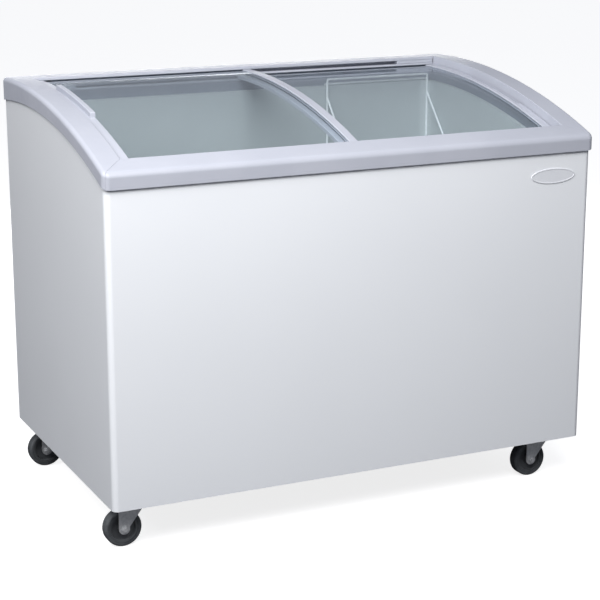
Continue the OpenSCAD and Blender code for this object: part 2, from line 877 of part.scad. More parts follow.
// ---------- drain ----------

module drain_tube() {
    color([0.85, 0.86, 0.88])
        translate([drain_x, drain_y, base_z - 14])
            difference() {
                cylinder(r = drain_r, h = tub_floor_z - base_z + 14);
                translate([0, 0, -1]) cylinder(r = drain_r - 2, h = 200);
            }
}

// Plug in the tub's floor, pulled up by its tab
module drain_plug() {
    color([0.55, 0.57, 0.62])
        translate([drain_x, drain_y, tub_floor_z]) {
            translate([0, 0, -12]) cylinder(r = drain_r - 2 - shaft_play, h = 14);
            translate([0, 0, sheet_t + 0.2]) cylinder(r = 15, h = 3);
            translate([-1.5, -7, sheet_t + 3]) cube([3, 14, 10]);
        }
}

// Cap pushed on the drain outlet from below
module drain_cap() {
    color([0.55, 0.57, 0.62])
        translate([drain_x, drain_y, base_z - 18])
            difference() {
                cylinder(r = drain_r + 2, h = 14);
                translate([0, 0, 3]) cylinder(r = drain_r + shaft_play, h = 14);
            }
}

// ---------- castors ----------

// Puts a castor's parts in place: swivel axis at the origin, wheel trailing along +X before the turn
module at_castor(sx, sy, turned = true) {
    translate([sx * castor_x, sy * castor_y, 0])
        rotate([0, 0, turned ? trail_angle : 0])
            children();
}

module at_bolts(sx, sy) {
    for (bx = [-1, 1], by = [-1, 1])
        translate([sx * castor_x + bx * 36, sy * castor_y + by * 24, base_z]) children();
}

// Mounting plate with its kingpin
module castor_plate(sx, sy) {
    color(steel_grey)
        at_castor(sx, sy, false)
            difference() {
                union() {
                    translate([-46, -33, base_z - plate_t]) cube([92, 66, plate_t]);
                    translate([0, 0, crown_z - 4]) cylinder(r = kingpin_r, h = base_z - plate_t - crown_z + 4);
                    translate([0, 0, crown_z - 6]) cylinder(r = 8, h = 2.4);
                    translate([0, 0, base_z - plate_t - 4]) cylinder(r = 21, h = 4);
                }
                for (bx = [-1, 1], by = [-1, 1])
                    translate([bx * 36, by * 24, base_z - 10]) cylinder(r = 3.3, h = 20);
            }
}

// Swivelling fork: raceway, crown and two cheeks
module castor_fork(sx, sy) {
    cheek_y = tyre_w / 2 + 2;
    cheek_t = 2.5;
    cheek_back = 16;
    cheek_front = castor_trail + 11;
    boss_r = 11;
    crown_t = 2.8;
    race_top = base_z - plate_t - 4.4;
    color([0.78, 0.79, 0.8])
        at_castor(sx, sy)
            difference() {
                union() {
                    translate([0, 0, crown_z - crown_t]) cylinder(r = 23, h = race_top - crown_z + crown_t);
                    translate([-cheek_back, -cheek_y - cheek_t, crown_z - crown_t])
                        cube([cheek_back + cheek_front, 2 * (cheek_y + cheek_t), crown_t]);
                    for (side = [-1, 1])
                        translate([0, side < 0 ? -cheek_y : cheek_y + cheek_t, 0])
                            rotate([90, 0, 0])
                                linear_extrude(cheek_t) {
                                    polygon([[-cheek_back, crown_z], [cheek_front, crown_z], [cheek_front, wheel_r],
                                        [castor_trail - boss_r, wheel_r], [castor_trail - boss_r, wheel_r + 4]]);
                                    translate([castor_trail, wheel_r]) circle(r = boss_r);
                                }
                }
                translate([0, 0, crown_z - 20]) cylinder(r = kingpin_r + shaft_play, h = 40);
                translate([castor_trail, 0, wheel_r])
                    rotate([90, 0, 0]) cylinder(r = axle_r, h = 80, center = true);
            }
}

// Axle bolt with its head and nut
module castor_axle(sx, sy) {
    half = tyre_w / 2 + 4.5;
    color([0.8, 0.8, 0.78])
        at_castor(sx, sy)
            translate([castor_trail, 0, wheel_r])
                rotate([90, 0, 0]) {
                    cylinder(r = axle_r, h = 2 * half, center = true);
                    translate([0, 0, half]) cylinder(r = 6.5, h = 5, $fn = 6);
                    translate([0, 0, -half - 5.5]) cylinder(r = 6.5, h = 5.5, $fn = 6);
                    translate([0, 0, -half - 7.5]) cylinder(r = axle_r, h = 3);
                }
}

module castor_hub(sx, sy) {
    color([0.35, 0.36, 0.38])
        at_castor(sx, sy)
            translate([castor_trail, 0, wheel_r])
                rotate([90, 0, 0])
                    difference() {
                        cylinder(r = wheel_r - 9, h = tyre_w - 4, center = true);
                        cylinder(r = axle_r + shaft_play, h = 60, center = true);
                        for (side = [-1, 1])
                            translate([0, 0, side * tyre_w / 2])
                                difference() {
                                    cylinder(r = wheel_r - 13, h = 14, center = true);
                                    cylinder(r = 9, h = 20, center = true);
                                }
                    }
}

module castor_tyre(sx, sy) {
    edge = 4;
    outer = wheel_r;
    inner = wheel_r - 9;
    half = tyre_w / 2;
    color(dark_rubber)
        at_castor(sx, sy)
            translate([castor_trail, 0, wheel_r])
                rotate([90, 0, 0])
                    rotate_extrude($fn = 64)
                        polygon([[inner, -half + 1], [inner + 3, -half], [outer - edge, -half], [outer, edge - half],
                            [outer, half - edge], [outer - edge, half], [inner + 3, half], [inner, half - 1]]);
}

// Hexagon bolts that hold the four castor plates to the base pan
module castor_bolts() {
    color([0.75, 0.75, 0.72])
        for (sx = [-1, 1], sy = [-1, 1])
            at_bolts(sx, sy) {
                translate([0, 0, -plate_t - 4]) cylinder(r = 6, h = 4, $fn = 6);
                translate([0, 0, -plate_t - 0.2]) cylinder(r = 3, h = plate_t + 6);
                translate([0, 0, 2.2]) cylinder(r = 5.5, h = 4, $fn = 6);
            }
}

outer_wrap();
rear_panel();
base_pan();
foam_insulation();
liner();
breaker_collar();
evaporator_tube();
condenser_tube();
front_rail();
rear_rail();
side_frame(-1);  // side_frame_left
side_frame(1);  // side_frame_right
track_stop_right();
track_stop_left();
badge();
left_glass();
left_grip_strip();
left_inner_strip();
left_slides();
left_brush();
right_glass();
right_grip_strip();
right_inner_strip();
right_slides();
basket();
machine_shroud();
compressor();
compressor_feet();
relay_box();
filter_drier();
refrigerant_pipes();
rear_grille();
grille_screws();
thermostat_body();
thermostat_knob();
cord_gland();
drain_tube();
drain_plug();
drain_cap();
castor_bolts();
castor_plate(-1, -1);  // castor_plate_fl
castor_fork(-1, -1);  // castor_fork_fl
castor_axle(-1, -1);  // castor_axle_fl
castor_hub(-1, -1);  // castor_hub_fl
castor_tyre(-1, -1);  // castor_tyre_fl
castor_plate(1, -1);  // castor_plate_fr
castor_fork(1, -1);  // castor_fork_fr
castor_axle(1, -1);  // castor_axle_fr
castor_hub(1, -1);  // castor_hub_fr
castor_tyre(1, -1);  // castor_tyre_fr
castor_plate(-1, 1);  // castor_plate_rl
castor_fork(-1, 1);  // castor_fork_rl
castor_axle(-1, 1);  // castor_axle_rl
castor_hub(-1, 1);  // castor_hub_rl
castor_tyre(-1, 1);  // castor_tyre_rl
castor_plate(1, 1);  // castor_plate_rr
castor_fork(1, 1);  // castor_fork_rr
castor_axle(1, 1);  // castor_axle_rr
castor_hub(1, 1);  // castor_hub_rr
castor_tyre(1, 1);  // castor_tyre_rr
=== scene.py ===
"""Display chest freezer with two curved sliding glass lids, a wire basket and four castors."""
import json
from math import hypot, pi, radians, sqrt

import bpy
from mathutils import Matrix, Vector


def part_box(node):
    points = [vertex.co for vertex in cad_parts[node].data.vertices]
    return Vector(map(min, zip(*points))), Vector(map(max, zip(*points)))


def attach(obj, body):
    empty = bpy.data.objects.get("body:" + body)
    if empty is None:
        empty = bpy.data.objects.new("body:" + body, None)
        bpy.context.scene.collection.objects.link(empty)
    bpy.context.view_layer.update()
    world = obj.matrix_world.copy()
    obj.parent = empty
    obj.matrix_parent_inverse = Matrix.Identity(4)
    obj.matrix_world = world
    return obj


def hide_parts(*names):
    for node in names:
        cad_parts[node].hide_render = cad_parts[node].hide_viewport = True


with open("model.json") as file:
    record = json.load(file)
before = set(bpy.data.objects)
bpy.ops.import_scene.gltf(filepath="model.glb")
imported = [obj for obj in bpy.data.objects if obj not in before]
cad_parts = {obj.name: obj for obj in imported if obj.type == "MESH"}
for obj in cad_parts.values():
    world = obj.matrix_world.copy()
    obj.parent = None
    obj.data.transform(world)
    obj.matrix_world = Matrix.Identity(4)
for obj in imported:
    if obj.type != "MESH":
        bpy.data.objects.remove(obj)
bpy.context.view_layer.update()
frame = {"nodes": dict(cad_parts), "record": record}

MM = 0.001

# Cabinet, as the model packs it
BODY_LOW, BODY_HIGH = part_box("outer_wrap")
RING_LOW = Vector(map(min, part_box("front_rail")[0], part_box("side_frame_left")[0]))
RING_HIGH = Vector(map(max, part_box("rear_rail")[1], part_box("side_frame_right")[1]))
HALF_WIDTH = BODY_HIGH.x
FRONT = BODY_LOW.y
BASE = BODY_LOW.z
CREST = RING_HIGH.z
SHEET = 1.2 * MM
SHEET_TUCK = 14 * MM
EDGE_RADIUS = 12 * MM

# Pitch of the cuts that let a piece follow the arc, and the height of a blank before its top is laid on it
ARC_PITCH = 13 * MM
BLANK_TOP = 0.6

# Slack for picking edges that lie in one plane, and those on a rounded outline
PLANE_SLACK = 0.1 * MM
OUTLINE_SLACK = 0.3 * MM

# Circular arc of the curved top, and the flatter arc of the frame's lower edge
TOP_RUN = 560 * MM
TOP_DROP = 102 * MM
TOP_RADIUS = (TOP_RUN ** 2 + TOP_DROP ** 2) / (2 * TOP_DROP)
TOP_MID_Y = FRONT + TOP_RUN
TOP_MID_Z = CREST - TOP_RADIUS
SKIRT_RUN = 480 * MM
SKIRT_FALL = 93 * MM
SKIRT_RADIUS = (SKIRT_RUN ** 2 + SKIRT_FALL ** 2) / (2 * SKIRT_FALL)
SKIRT_MID_Y = FRONT + SKIRT_RUN
SKIRT_BELOW_CREST = 40 * MM
SKIRT_MID_Z = CREST - SKIRT_BELOW_CREST - SKIRT_RADIUS

# Opening of the top frame, and depths below its top surface
MEMBER_X = 479 * MM
RAIL_FRONT_EDGE = -276 * MM
RAIL_REAR_EDGE = 260 * MM
SLOT_FRONT = -296 * MM
SLOT_REAR = 280 * MM
SKIN = 6 * MM
UPPER_SLOT = (6 * MM, 14 * MM)
LOWER_SLOT = (18 * MM, 26 * MM)
LIP_LEVEL = 30 * MM
COLLAR_LEVEL = 52 * MM
UPPER_PANE = 8 * MM
LOWER_PANE = 20 * MM
PANE = 4 * MM

# Inner tub and its mouth
TUB_X = 457 * MM
TUB_Y = 248 * MM
TUB_FLOOR = 160 * MM + SHEET
STEP_X = 190 * MM
STEP_FLOOR = 348 * MM + SHEET
DRAIN_RADIUS = 10.2 * MM
MOUTH_X = 465 * MM
MOUTH_Y = 260 * MM


def top_z(y, depth=0.0):
    """Height of the surface that lies a depth below the curved top."""
    return TOP_MID_Z + sqrt((TOP_RADIUS - depth) ** 2 - (y - TOP_MID_Y) ** 2)


def skirt_z(y, rise=0.0):
    """Height of the frame's lower edge, raised by an amount."""
    return SKIRT_MID_Z + sqrt((SKIRT_RADIUS + rise) ** 2 - (y - SKIRT_MID_Y) ** 2)


# ---------- modelling helpers ----------

def object_mode():
    if bpy.context.object and bpy.context.object.mode != "OBJECT":
        bpy.ops.object.mode_set(mode="OBJECT")


def only(piece):
    """Leaves one piece selected and active, in object mode."""
    object_mode()
    bpy.ops.object.select_all(action="DESELECT")
    piece.select_set(True)
    bpy.context.view_layer.objects.active = piece


def settle(name):
    """Names the new primitive and puts its place and size into its mesh."""
    piece = bpy.context.object
    piece.name = name
    piece.data.name = name
    bpy.ops.object.transform_apply(location=True, rotation=True, scale=True)
    return piece


def clear_way():
    object_mode()
    bpy.ops.object.select_all(action="DESELECT")


def add_block(name, low, high):
    """A box between two corners, as a start for shaping."""
    clear_way()
    middle = [(a + b) / 2 for a, b in zip(low, high)]
    size = [b - a for a, b in zip(low, high)]
    bpy.ops.mesh.primitive_cube_add(size=1, location=middle, scale=size)
    return settle(name)


def add_disc(name, radius, depth, middle=(0, 0, 0), turn=(0, 0, 0), sides=48):
    """A cylinder with capped ends, as a start for shaping."""
    clear_way()
    bpy.ops.mesh.primitive_cylinder_add(
        vertices=sides, radius=radius, depth=depth, location=middle, rotation=turn)
    return settle(name)


def edit_nothing(piece, kind):
    only(piece)
    bpy.ops.object.mode_set(mode="EDIT")
    bpy.ops.mesh.select_mode(type=kind)
    bpy.ops.mesh.select_all(action="DESELECT")
    bpy.ops.object.mode_set(mode="OBJECT")


def pick_faces(piece, test):
    """Opens the piece in edit mode with the faces selected whose middle and normal pass the test."""
    edit_nothing(piece, "FACE")
    for face in piece.data.polygons:
        face.select = bool(test(face.center, face.normal))
    bpy.ops.object.mode_set(mode="EDIT")


def pick_edges(piece, test):
    """Opens the piece in edit mode with the edges selected whose two ends pass the test."""
    edit_nothing(piece, "EDGE")
    points = piece.data.vertices
    for edge in piece.data.edges:
        edge.select = bool(test(points[edge.vertices[0]].co, points[edge.vertices[1]].co))
    bpy.ops.object.mode_set(mode="EDIT")


def pick_all(piece):
    only(piece)
    bpy.ops.object.mode_set(mode="EDIT")
    bpy.ops.mesh.select_mode(type="VERT")
    bpy.ops.mesh.select_all(action="SELECT")


def round_edges(piece, radius, segments, test):
    """Rounds the edges whose two ends pass the test."""
    pick_edges(piece, test)
    bpy.ops.mesh.bevel(offset=radius, segments=segments, profile=0.5, affect="EDGES", clamp_overlap=True)
    object_mode()


def delete_faces(piece, test):
    pick_faces(piece, test)
    bpy.ops.mesh.delete(type="FACE")
    object_mode()


def slice_across(piece, axis, places):
    """Cuts edges into the piece on planes square to an axis."""
    normal = [1.0 if i == axis else 0.0 for i in range(3)]
    pick_all(piece)
    for place in places:
        bpy.ops.mesh.select_all(action="SELECT")
        bpy.ops.mesh.bisect(plane_co=[place * n for n in normal], plane_no=normal)
    object_mode()


def steps_between(low, high, pitch):
    count = max(1, round((high - low) / pitch))
    return [low + (high - low) * i / count for i in range(1, count)]


def cut_away(piece, point, normal):
    """Removes what lies on the normal's side of a plane, and leaves the cut open."""
    pick_all(piece)
    bpy.ops.mesh.bisect(plane_co=point, plane_no=normal, use_fill=False, clear_outer=True)
    object_mode()


def use_modifier(piece, kind, **settings):
    """Adds a modifier to the piece and applies it."""
    only(piece)
    modifier = piece.modifiers.new(kind.title(), kind)
    for key, value in settings.items():
        setattr(modifier, key, value)
    bpy.ops.object.modifier_apply(modifier=modifier.name)


def drill_through(piece, middle, radius, turn=(0, 0, 0)):
    """Drills a short round hole about a point, upright unless turned."""
    drill_length = 60 * MM
    drill = add_disc("drill", radius, drill_length, middle, turn)
    use_modifier(piece, "BOOLEAN", operation="DIFFERENCE", solver="EXACT", object=drill)
    bpy.data.objects.remove(drill)


def outward(piece):
    """Merges doubled points and turns every face outwards."""
    pick_all(piece)
    bpy.ops.mesh.remove_doubles(threshold=1e-6)
    bpy.ops.mesh.normals_make_consistent(inside=False)
    object_mode()


def copy_of(piece, name):
    """A copy with a mesh of its own."""
    twin = piece.copy()
    twin.data = piece.data.copy()
    twin.name = name
    twin.data.name = name
    bpy.context.scene.collection.objects.link(twin)
    return twin


def join(name, parts):
    clear_way()
    for part in parts:
        part.select_set(True)
    bpy.context.view_layer.objects.active = parts[0]
    bpy.ops.object.join()
    whole = bpy.context.object
    whole.name = name
    whole.data.name = name
    return whole


def place(piece, turn=0.0, shift=(0, 0, 0)):
    """Turns the mesh about the upright axis through the origin, then shifts it."""
    only(piece)
    piece.rotation_euler = (0, 0, turn)
    piece.location = shift
    bpy.ops.object.transform_apply(location=True, rotation=True, scale=True)


def lay_on_arc(piece):
    """Lays a piece that was modelled flat, with -Z as depth, on the curved top."""
    for vertex in piece.data.vertices:
        vertex.co.z = top_z(vertex.co.y, -vertex.co.z)


def soft_shade(piece, angle=35):
    """Smooth shading that keeps broad faces flat beside their rounded edges."""
    only(piece)
    bpy.ops.object.shade_smooth_by_angle(angle=radians(angle))
    use_modifier(piece, "WEIGHTED_NORMAL", keep_sharp=True)


def finish_piece(piece, body, slot, *nodes):
    """Gives the piece its material and the body it rides on, and hides the nodes it stands for."""
    piece.data.materials.clear()
    piece.data.materials.append(MATERIALS[slot])
    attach(piece, body)
    if nodes:
        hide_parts(*nodes)


# ---------- camera, light and floor ----------

def add_camera():
    eye = Vector((-1.4897, -3.1883, 1.2905))
    to_right = radians(25.257)
    down = radians(14.521)
    data = bpy.data.cameras.new("camera")
    data.sensor_width = 36
    data.lens = 101.9
    data.clip_end = 100
    camera = bpy.data.objects.new("camera", data)
    camera.location = eye
    camera.rotation_euler = (pi / 2 - down, 0, -to_right)
    bpy.context.scene.collection.objects.link(camera)
    bpy.context.scene.camera = camera


def add_softbox(name, middle, aim, size, power, colour=(1, 1, 1)):
    data = bpy.data.lights.new(name, "AREA")
    data.shape = "RECTANGLE"
    data.size = size[0]
    data.size_y = size[1]
    data.energy = power
    data.color = colour
    lamp = bpy.data.objects.new(name, data)
    lamp.location = middle
    lamp.rotation_euler = (Vector(aim) - Vector(middle)).to_track_quat("-Z", "Y").to_euler()
    lamp.visible_camera = False
    bpy.context.scene.collection.objects.link(lamp)


def add_world():
    """White behind the object, and a softer sky for everything that it lights."""
    world = bpy.data.worlds.new("studio")
    bpy.context.scene.world = world
    world.use_nodes = True
    nodes = world.node_tree.nodes
    links = world.node_tree.links
    nodes.clear()
    seen = nodes.new("ShaderNodeBackground")
    seen.inputs["Color"].default_value = (1, 1, 1, 1)
    seen.inputs["Strength"].default_value = 1.0
    sky = nodes.new("ShaderNodeBackground")
    sky.inputs["Color"].default_value = (0.86, 0.90, 1.0, 1)
    sky.inputs["Strength"].default_value = 0.285
    rays = nodes.new("ShaderNodeLightPath")
    mix = nodes.new("ShaderNodeMixShader")
    output = nodes.new("ShaderNodeOutputWorld")
    links.new(rays.outputs["Is Camera Ray"], mix.inputs["Fac"])
    links.new(sky.outputs["Background"], mix.inputs[1])
    links.new(seen.outputs["Background"], mix.inputs[2])
    links.new(mix.outputs["Shader"], output.inputs["Surface"])


def add_floor():
    """Plain white floor, seen bright, that throws only a little light back up."""
    clear_way()
    bpy.ops.mesh.primitive_plane_add(size=40, location=(0, 0, -0.0005))
    floor = settle("studio_floor")
    material = bpy.data.materials.new("studio_floor")
    material.use_nodes = True
    nodes = material.node_tree.nodes
    links = material.node_tree.links
    nodes.clear()
    seen = nodes.new("ShaderNodeBsdfPrincipled")
    seen.inputs["Base Color"].default_value = (0.55, 0.55, 0.56, 1)
    seen.inputs["Roughness"].default_value = 0.9
    seen.inputs["Specular IOR Level"].default_value = 0.0
    seen.inputs["Emission Color"].default_value = (1, 1, 1, 1)
    seen.inputs["Emission Strength"].default_value = 0.8
    dim = nodes.new("ShaderNodeBsdfDiffuse")
    dim.inputs["Color"].default_value = (0.10, 0.103, 0.11, 1)
    rays = nodes.new("ShaderNodeLightPath")
    mix = nodes.new("ShaderNodeMixShader")
    output = nodes.new("ShaderNodeOutputMaterial")
    links.new(rays.outputs["Is Camera Ray"], mix.inputs["Fac"])
    links.new(dim.outputs["BSDF"], mix.inputs[1])
    links.new(seen.outputs["BSDF"], mix.inputs[2])
    links.new(mix.outputs["Shader"], output.inputs["Surface"])
    floor.data.materials.append(material)


add_camera()
add_world()
add_floor()
add_softbox("key_softbox", (-0.8, -1.75, 2.2), (0.0, -0.2, 0.6), (1.8, 1.2), 72, (1.0, 0.99, 0.98))
add_softbox("side_softbox", (-2.3, -0.6, 2.3), (-0.5, 0.0, 0.6), (1.2, 1.6), 44, (1.0, 0.99, 0.98))
add_softbox("rear_softbox", (0.9, 2.9, 0.8), (0.1, 0.0, 0.5), (2.4, 1.0), 34)
bpy.context.scene.view_settings.view_transform = "Standard"


# ---------- materials ----------

def new_material(name):
    material = bpy.data.materials.new(name)
    material.use_nodes = True
    return material, material.node_tree.nodes["Principled BSDF"]


def object_coords(material, stretch=(1, 1, 1)):
    """Object coordinates in metres, stretched along the axes."""
    nodes = material.node_tree.nodes
    links = material.node_tree.links
    coords = nodes.new("ShaderNodeTexCoord")
    mapping = nodes.new("ShaderNodeMapping")
    mapping.inputs["Scale"].default_value = stretch
    links.new(coords.outputs["Object"], mapping.inputs["Vector"])
    return mapping.outputs["Vector"]


def grain(material, scale, detail=3.0, stretch=(1, 1, 1)):
    """A noise pattern, in cycles per metre."""
    noise = material.node_tree.nodes.new("ShaderNodeTexNoise")
    noise.inputs["Scale"].default_value = scale
    noise.inputs["Detail"].default_value = detail
    material.node_tree.links.new(object_coords(material, stretch), noise.inputs["Vector"])
    return noise.outputs["Fac"]


def tint(material, pattern, first, second):
    """Feeds the base colour from a pattern, between two colours."""
    nodes = material.node_tree.nodes
    links = material.node_tree.links
    ramp = nodes.new("ShaderNodeValToRGB")
    ramp.color_ramp.elements[0].position = 0.35
    ramp.color_ramp.elements[0].color = (*first, 1)
    ramp.color_ramp.elements[1].position = 0.65
    ramp.color_ramp.elements[1].color = (*second, 1)
    links.new(pattern, ramp.inputs["Fac"])
    links.new(ramp.outputs["Color"], nodes["Principled BSDF"].inputs["Base Color"])


def vary_roughness(material, pattern, smooth, rough):
    nodes = material.node_tree.nodes
    links = material.node_tree.links
    spread = nodes.new("ShaderNodeMapRange")
    spread.inputs["From Min"].default_value = 0.3
    spread.inputs["From Max"].default_value = 0.7
    spread.inputs["To Min"].default_value = smooth
    spread.inputs["To Max"].default_value = rough
    links.new(pattern, spread.inputs["Value"])
    links.new(spread.outputs["Result"], nodes["Principled BSDF"].inputs["Roughness"])


def emboss(material, pattern, strength, height):
    """Raises the surface by a pattern, whose full height is in metres."""
    nodes = material.node_tree.nodes
    links = material.node_tree.links
    bump = nodes.new("ShaderNodeBump")
    bump.inputs["Strength"].default_value = strength
    bump.inputs["Distance"].default_value = height
    links.new(pattern, bump.inputs["Height"])
    links.new(bump.outputs["Normal"], nodes["Principled BSDF"].inputs["Normal"])


def moulded_plastic(name, first, second, smooth=0.34, rough=0.46, grain_scale=1400, height=0.04 * MM):
    """Plastic with a fine moulded grain and slightly uneven gloss."""
    material, shader = new_material(name)
    tint(material, grain(material, 9, 4), first, second)
    vary_roughness(material, grain(material, 60, 4), smooth, rough)
    emboss(material, grain(material, grain_scale, 2), 0.25, height)
    shader.inputs["IOR"].default_value = 1.47
    return material


def painted_enamel(name, first, second):
    """Baked paint on sheet steel: a clear gloss over a faint orange peel."""
    material, shader = new_material(name)
    tint(material, grain(material, 3.2, 2), first, second)
    vary_roughness(material, grain(material, 7, 2), 0.29, 0.33)
    emboss(material, grain(material, 420, 1), 0.05, 0.02 * MM)
    shader.inputs["Coat Weight"].default_value = 0.25
    shader.inputs["Coat Roughness"].default_value = 0.12
    return material


def plated_metal(name, first, second, smooth=0.28, rough=0.48, scale=120):
    """Zinc or nickel on steel, with the blotches and fine scratches of handling."""
    material, shader = new_material(name)
    tint(material, grain(material, scale, 6), first, second)
    vary_roughness(material, grain(material, scale * 2.5, 5), smooth, rough)
    emboss(material, grain(material, 900, 2, (1, 8, 1)), 0.12, 0.03 * MM)
    shader.inputs["Metallic"].default_value = 0.55
    return material


def rubber(name, first, second):
    """Matt rubber with a dusty bloom."""
    material, shader = new_material(name)
    tint(material, grain(material, 45, 6), first, second)
    vary_roughness(material, grain(material, 160, 3), 0.55, 0.75)
    emboss(material, grain(material, 1800, 2), 0.3, 0.05 * MM)
    shader.inputs["Specular IOR Level"].default_value = 0.35
    return material


def grazing_share(material, head_on, power):
    """How much a pane mirrors: a small share head on, rising to all at a grazing angle."""
    nodes = material.node_tree.nodes
    links = material.node_tree.links
    slant = nodes.new("ShaderNodeLayerWeight")
    slant.inputs["Blend"].default_value = 0.5
    curve = nodes.new("ShaderNodeMath")
    curve.operation = "POWER"
    curve.inputs[1].default_value = power
    spread = nodes.new("ShaderNodeMapRange")
    spread.inputs["To Min"].default_value = head_on
    spread.inputs["To Max"].default_value = 1.0
    links.new(slant.outputs["Facing"], curve.inputs[0])
    links.new(curve.outputs["Value"], spread.inputs["Value"])
    return spread.outputs["Result"]


def lid_glass():
    """Clear tempered glass with a faint cool tint and traces of wiping."""
    material, shader = new_material("lid_glass")
    nodes = material.node_tree.nodes
    links = material.node_tree.links
    nodes.remove(shader)
    clear = nodes.new("ShaderNodeBsdfTransparent")
    clear.inputs["Color"].default_value = (0.95, 0.975, 0.985, 1)
    gloss = nodes.new("ShaderNodeBsdfGlossy")
    gloss.inputs["Color"].default_value = (0.92, 0.95, 0.98, 1)
    wiped = nodes.new("ShaderNodeMapRange")
    wiped.inputs["To Min"].default_value = 0.03
    wiped.inputs["To Max"].default_value = 0.10
    links.new(grain(material, 30, 4, (1, 0.4, 1)), wiped.inputs["Value"])
    links.new(wiped.outputs["Result"], gloss.inputs["Roughness"])
    mirrored = grazing_share(material, 0.04, 5.0)
    mix = nodes.new("ShaderNodeMixShader")
    links.new(mirrored, mix.inputs["Fac"])
    links.new(clear.outputs["BSDF"], mix.inputs[1])
    links.new(gloss.outputs["BSDF"], mix.inputs[2])
    links.new(mix.outputs["Shader"], nodes["Material Output"].inputs["Surface"])
    return material


def embossed_liner():
    """Painted aluminium sheet with a fine stucco emboss."""
    material, shader = new_material("liner_sheet")
    tint(material, grain(material, 5, 3), (0.455, 0.487, 0.50), (0.485, 0.517, 0.53))
    vary_roughness(material, grain(material, 70, 3), 0.38, 0.52)
    cells = material.node_tree.nodes.new("ShaderNodeTexVoronoi")
    cells.feature = "SMOOTH_F1"
    cells.inputs["Scale"].default_value = 190
    cells.inputs["Smoothness"].default_value = 0.6
    material.node_tree.links.new(object_coords(material), cells.inputs["Vector"])
    emboss(material, cells.outputs["Distance"], 0.3, 0.25 * MM)
    shader.inputs["Specular IOR Level"].default_value = 0.4
    return material


def brush_fibre():
    material, shader = new_material("brush_fibre")
    strands = grain(material, 900, 2, (1, 1, 0.05))
    tint(material, strands, (0.03, 0.03, 0.035), (0.13, 0.13, 0.14))
    emboss(material, strands, 0.8, 0.3 * MM)
    shader.inputs["Roughness"].default_value = 0.85
    return material


def rigid_foam():
    material, shader = new_material("foam")
    cells = material.node_tree.nodes.new("ShaderNodeTexVoronoi")
    cells.inputs["Scale"].default_value = 700
    material.node_tree.links.new(object_coords(material), cells.inputs["Vector"])
    tint(material, grain(material, 30, 6), (0.72, 0.58, 0.33), (0.84, 0.72, 0.46))
    emboss(material, cells.outputs["Distance"], 0.6, 0.4 * MM)
    shader.inputs["Roughness"].default_value = 0.9
    return material


def copper_tube():
    material, shader = new_material("copper_tube")
    tint(material, grain(material, 60, 6), (0.50, 0.24, 0.13), (0.78, 0.42, 0.26))
    vary_roughness(material, grain(material, 180, 4), 0.25, 0.5)
    emboss(material, grain(material, 500, 3), 0.15, 0.05 * MM)
    shader.inputs["Metallic"].default_value = 0.95
    return material


MATERIALS = {
    "white_enamel": painted_enamel("white_enamel", (0.79, 0.813, 0.85), (0.80, 0.823, 0.86)),
    "frame_plastic": moulded_plastic("frame_plastic", (0.41, 0.428, 0.49), (0.435, 0.453, 0.515)),
    "strip_plastic": moulded_plastic("strip_plastic", (0.435, 0.455, 0.52), (0.46, 0.48, 0.545), 0.28, 0.4),
    "lid_glass": lid_glass(),
    "collar_plastic": moulded_plastic("collar_plastic", (0.20, 0.215, 0.255), (0.23, 0.245, 0.285)),
    "brush_fibre": brush_fibre(),
    "liner_sheet": embossed_liner(),
    "foam": rigid_foam(),
    "copper_tube": copper_tube(),
    "badge_plate": moulded_plastic("badge_plate", (0.66, 0.68, 0.73), (0.72, 0.74, 0.78), 0.18, 0.28),
    "basket_wire": moulded_plastic("basket_wire", (0.78, 0.81, 0.84), (0.86, 0.88, 0.90), 0.25, 0.4, 900),
    "zinc_sheet": plated_metal("zinc_sheet", (0.42, 0.43, 0.45), (0.58, 0.59, 0.61)),
    "compressor_enamel": moulded_plastic("compressor_enamel", (0.02, 0.02, 0.022), (0.035, 0.035, 0.04)),
    "black_rubber": rubber("black_rubber", (0.02, 0.02, 0.022), (0.05, 0.05, 0.055)),
    "grille_plastic": moulded_plastic("grille_plastic", (0.05, 0.053, 0.06), (0.075, 0.08, 0.09), 0.42, 0.58),
    "thermostat_housing": moulded_plastic("thermostat_housing", (0.45, 0.46, 0.48), (0.52, 0.53, 0.55)),
    "dial_plastic": moulded_plastic("dial_plastic", (0.03, 0.03, 0.035), (0.05, 0.05, 0.06)),
    "drain_plastic": moulded_plastic("drain_plastic", (0.40, 0.43, 0.50), (0.46, 0.49, 0.56)),
    "castor_zinc": plated_metal("castor_zinc", (0.62, 0.63, 0.65), (0.78, 0.79, 0.80), 0.3, 0.5, 160),
    "hub_plastic": moulded_plastic("hub_plastic", (0.075, 0.08, 0.087), (0.11, 0.117, 0.125), 0.4, 0.55),
    "castor_rubber": rubber("castor_rubber", (0.055, 0.06, 0.066), (0.10, 0.107, 0.115)),
}


def paint_nodes():
    """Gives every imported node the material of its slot."""
    slots = {part["node"]: part["material_slot"] for part in frame["record"]["subparts"]}
    for name, node in frame["nodes"].items():
        node.data.materials.clear()
        node.data.materials.append(MATERIALS[slots[name]])


paint_nodes()


# ---------- painted body ----------

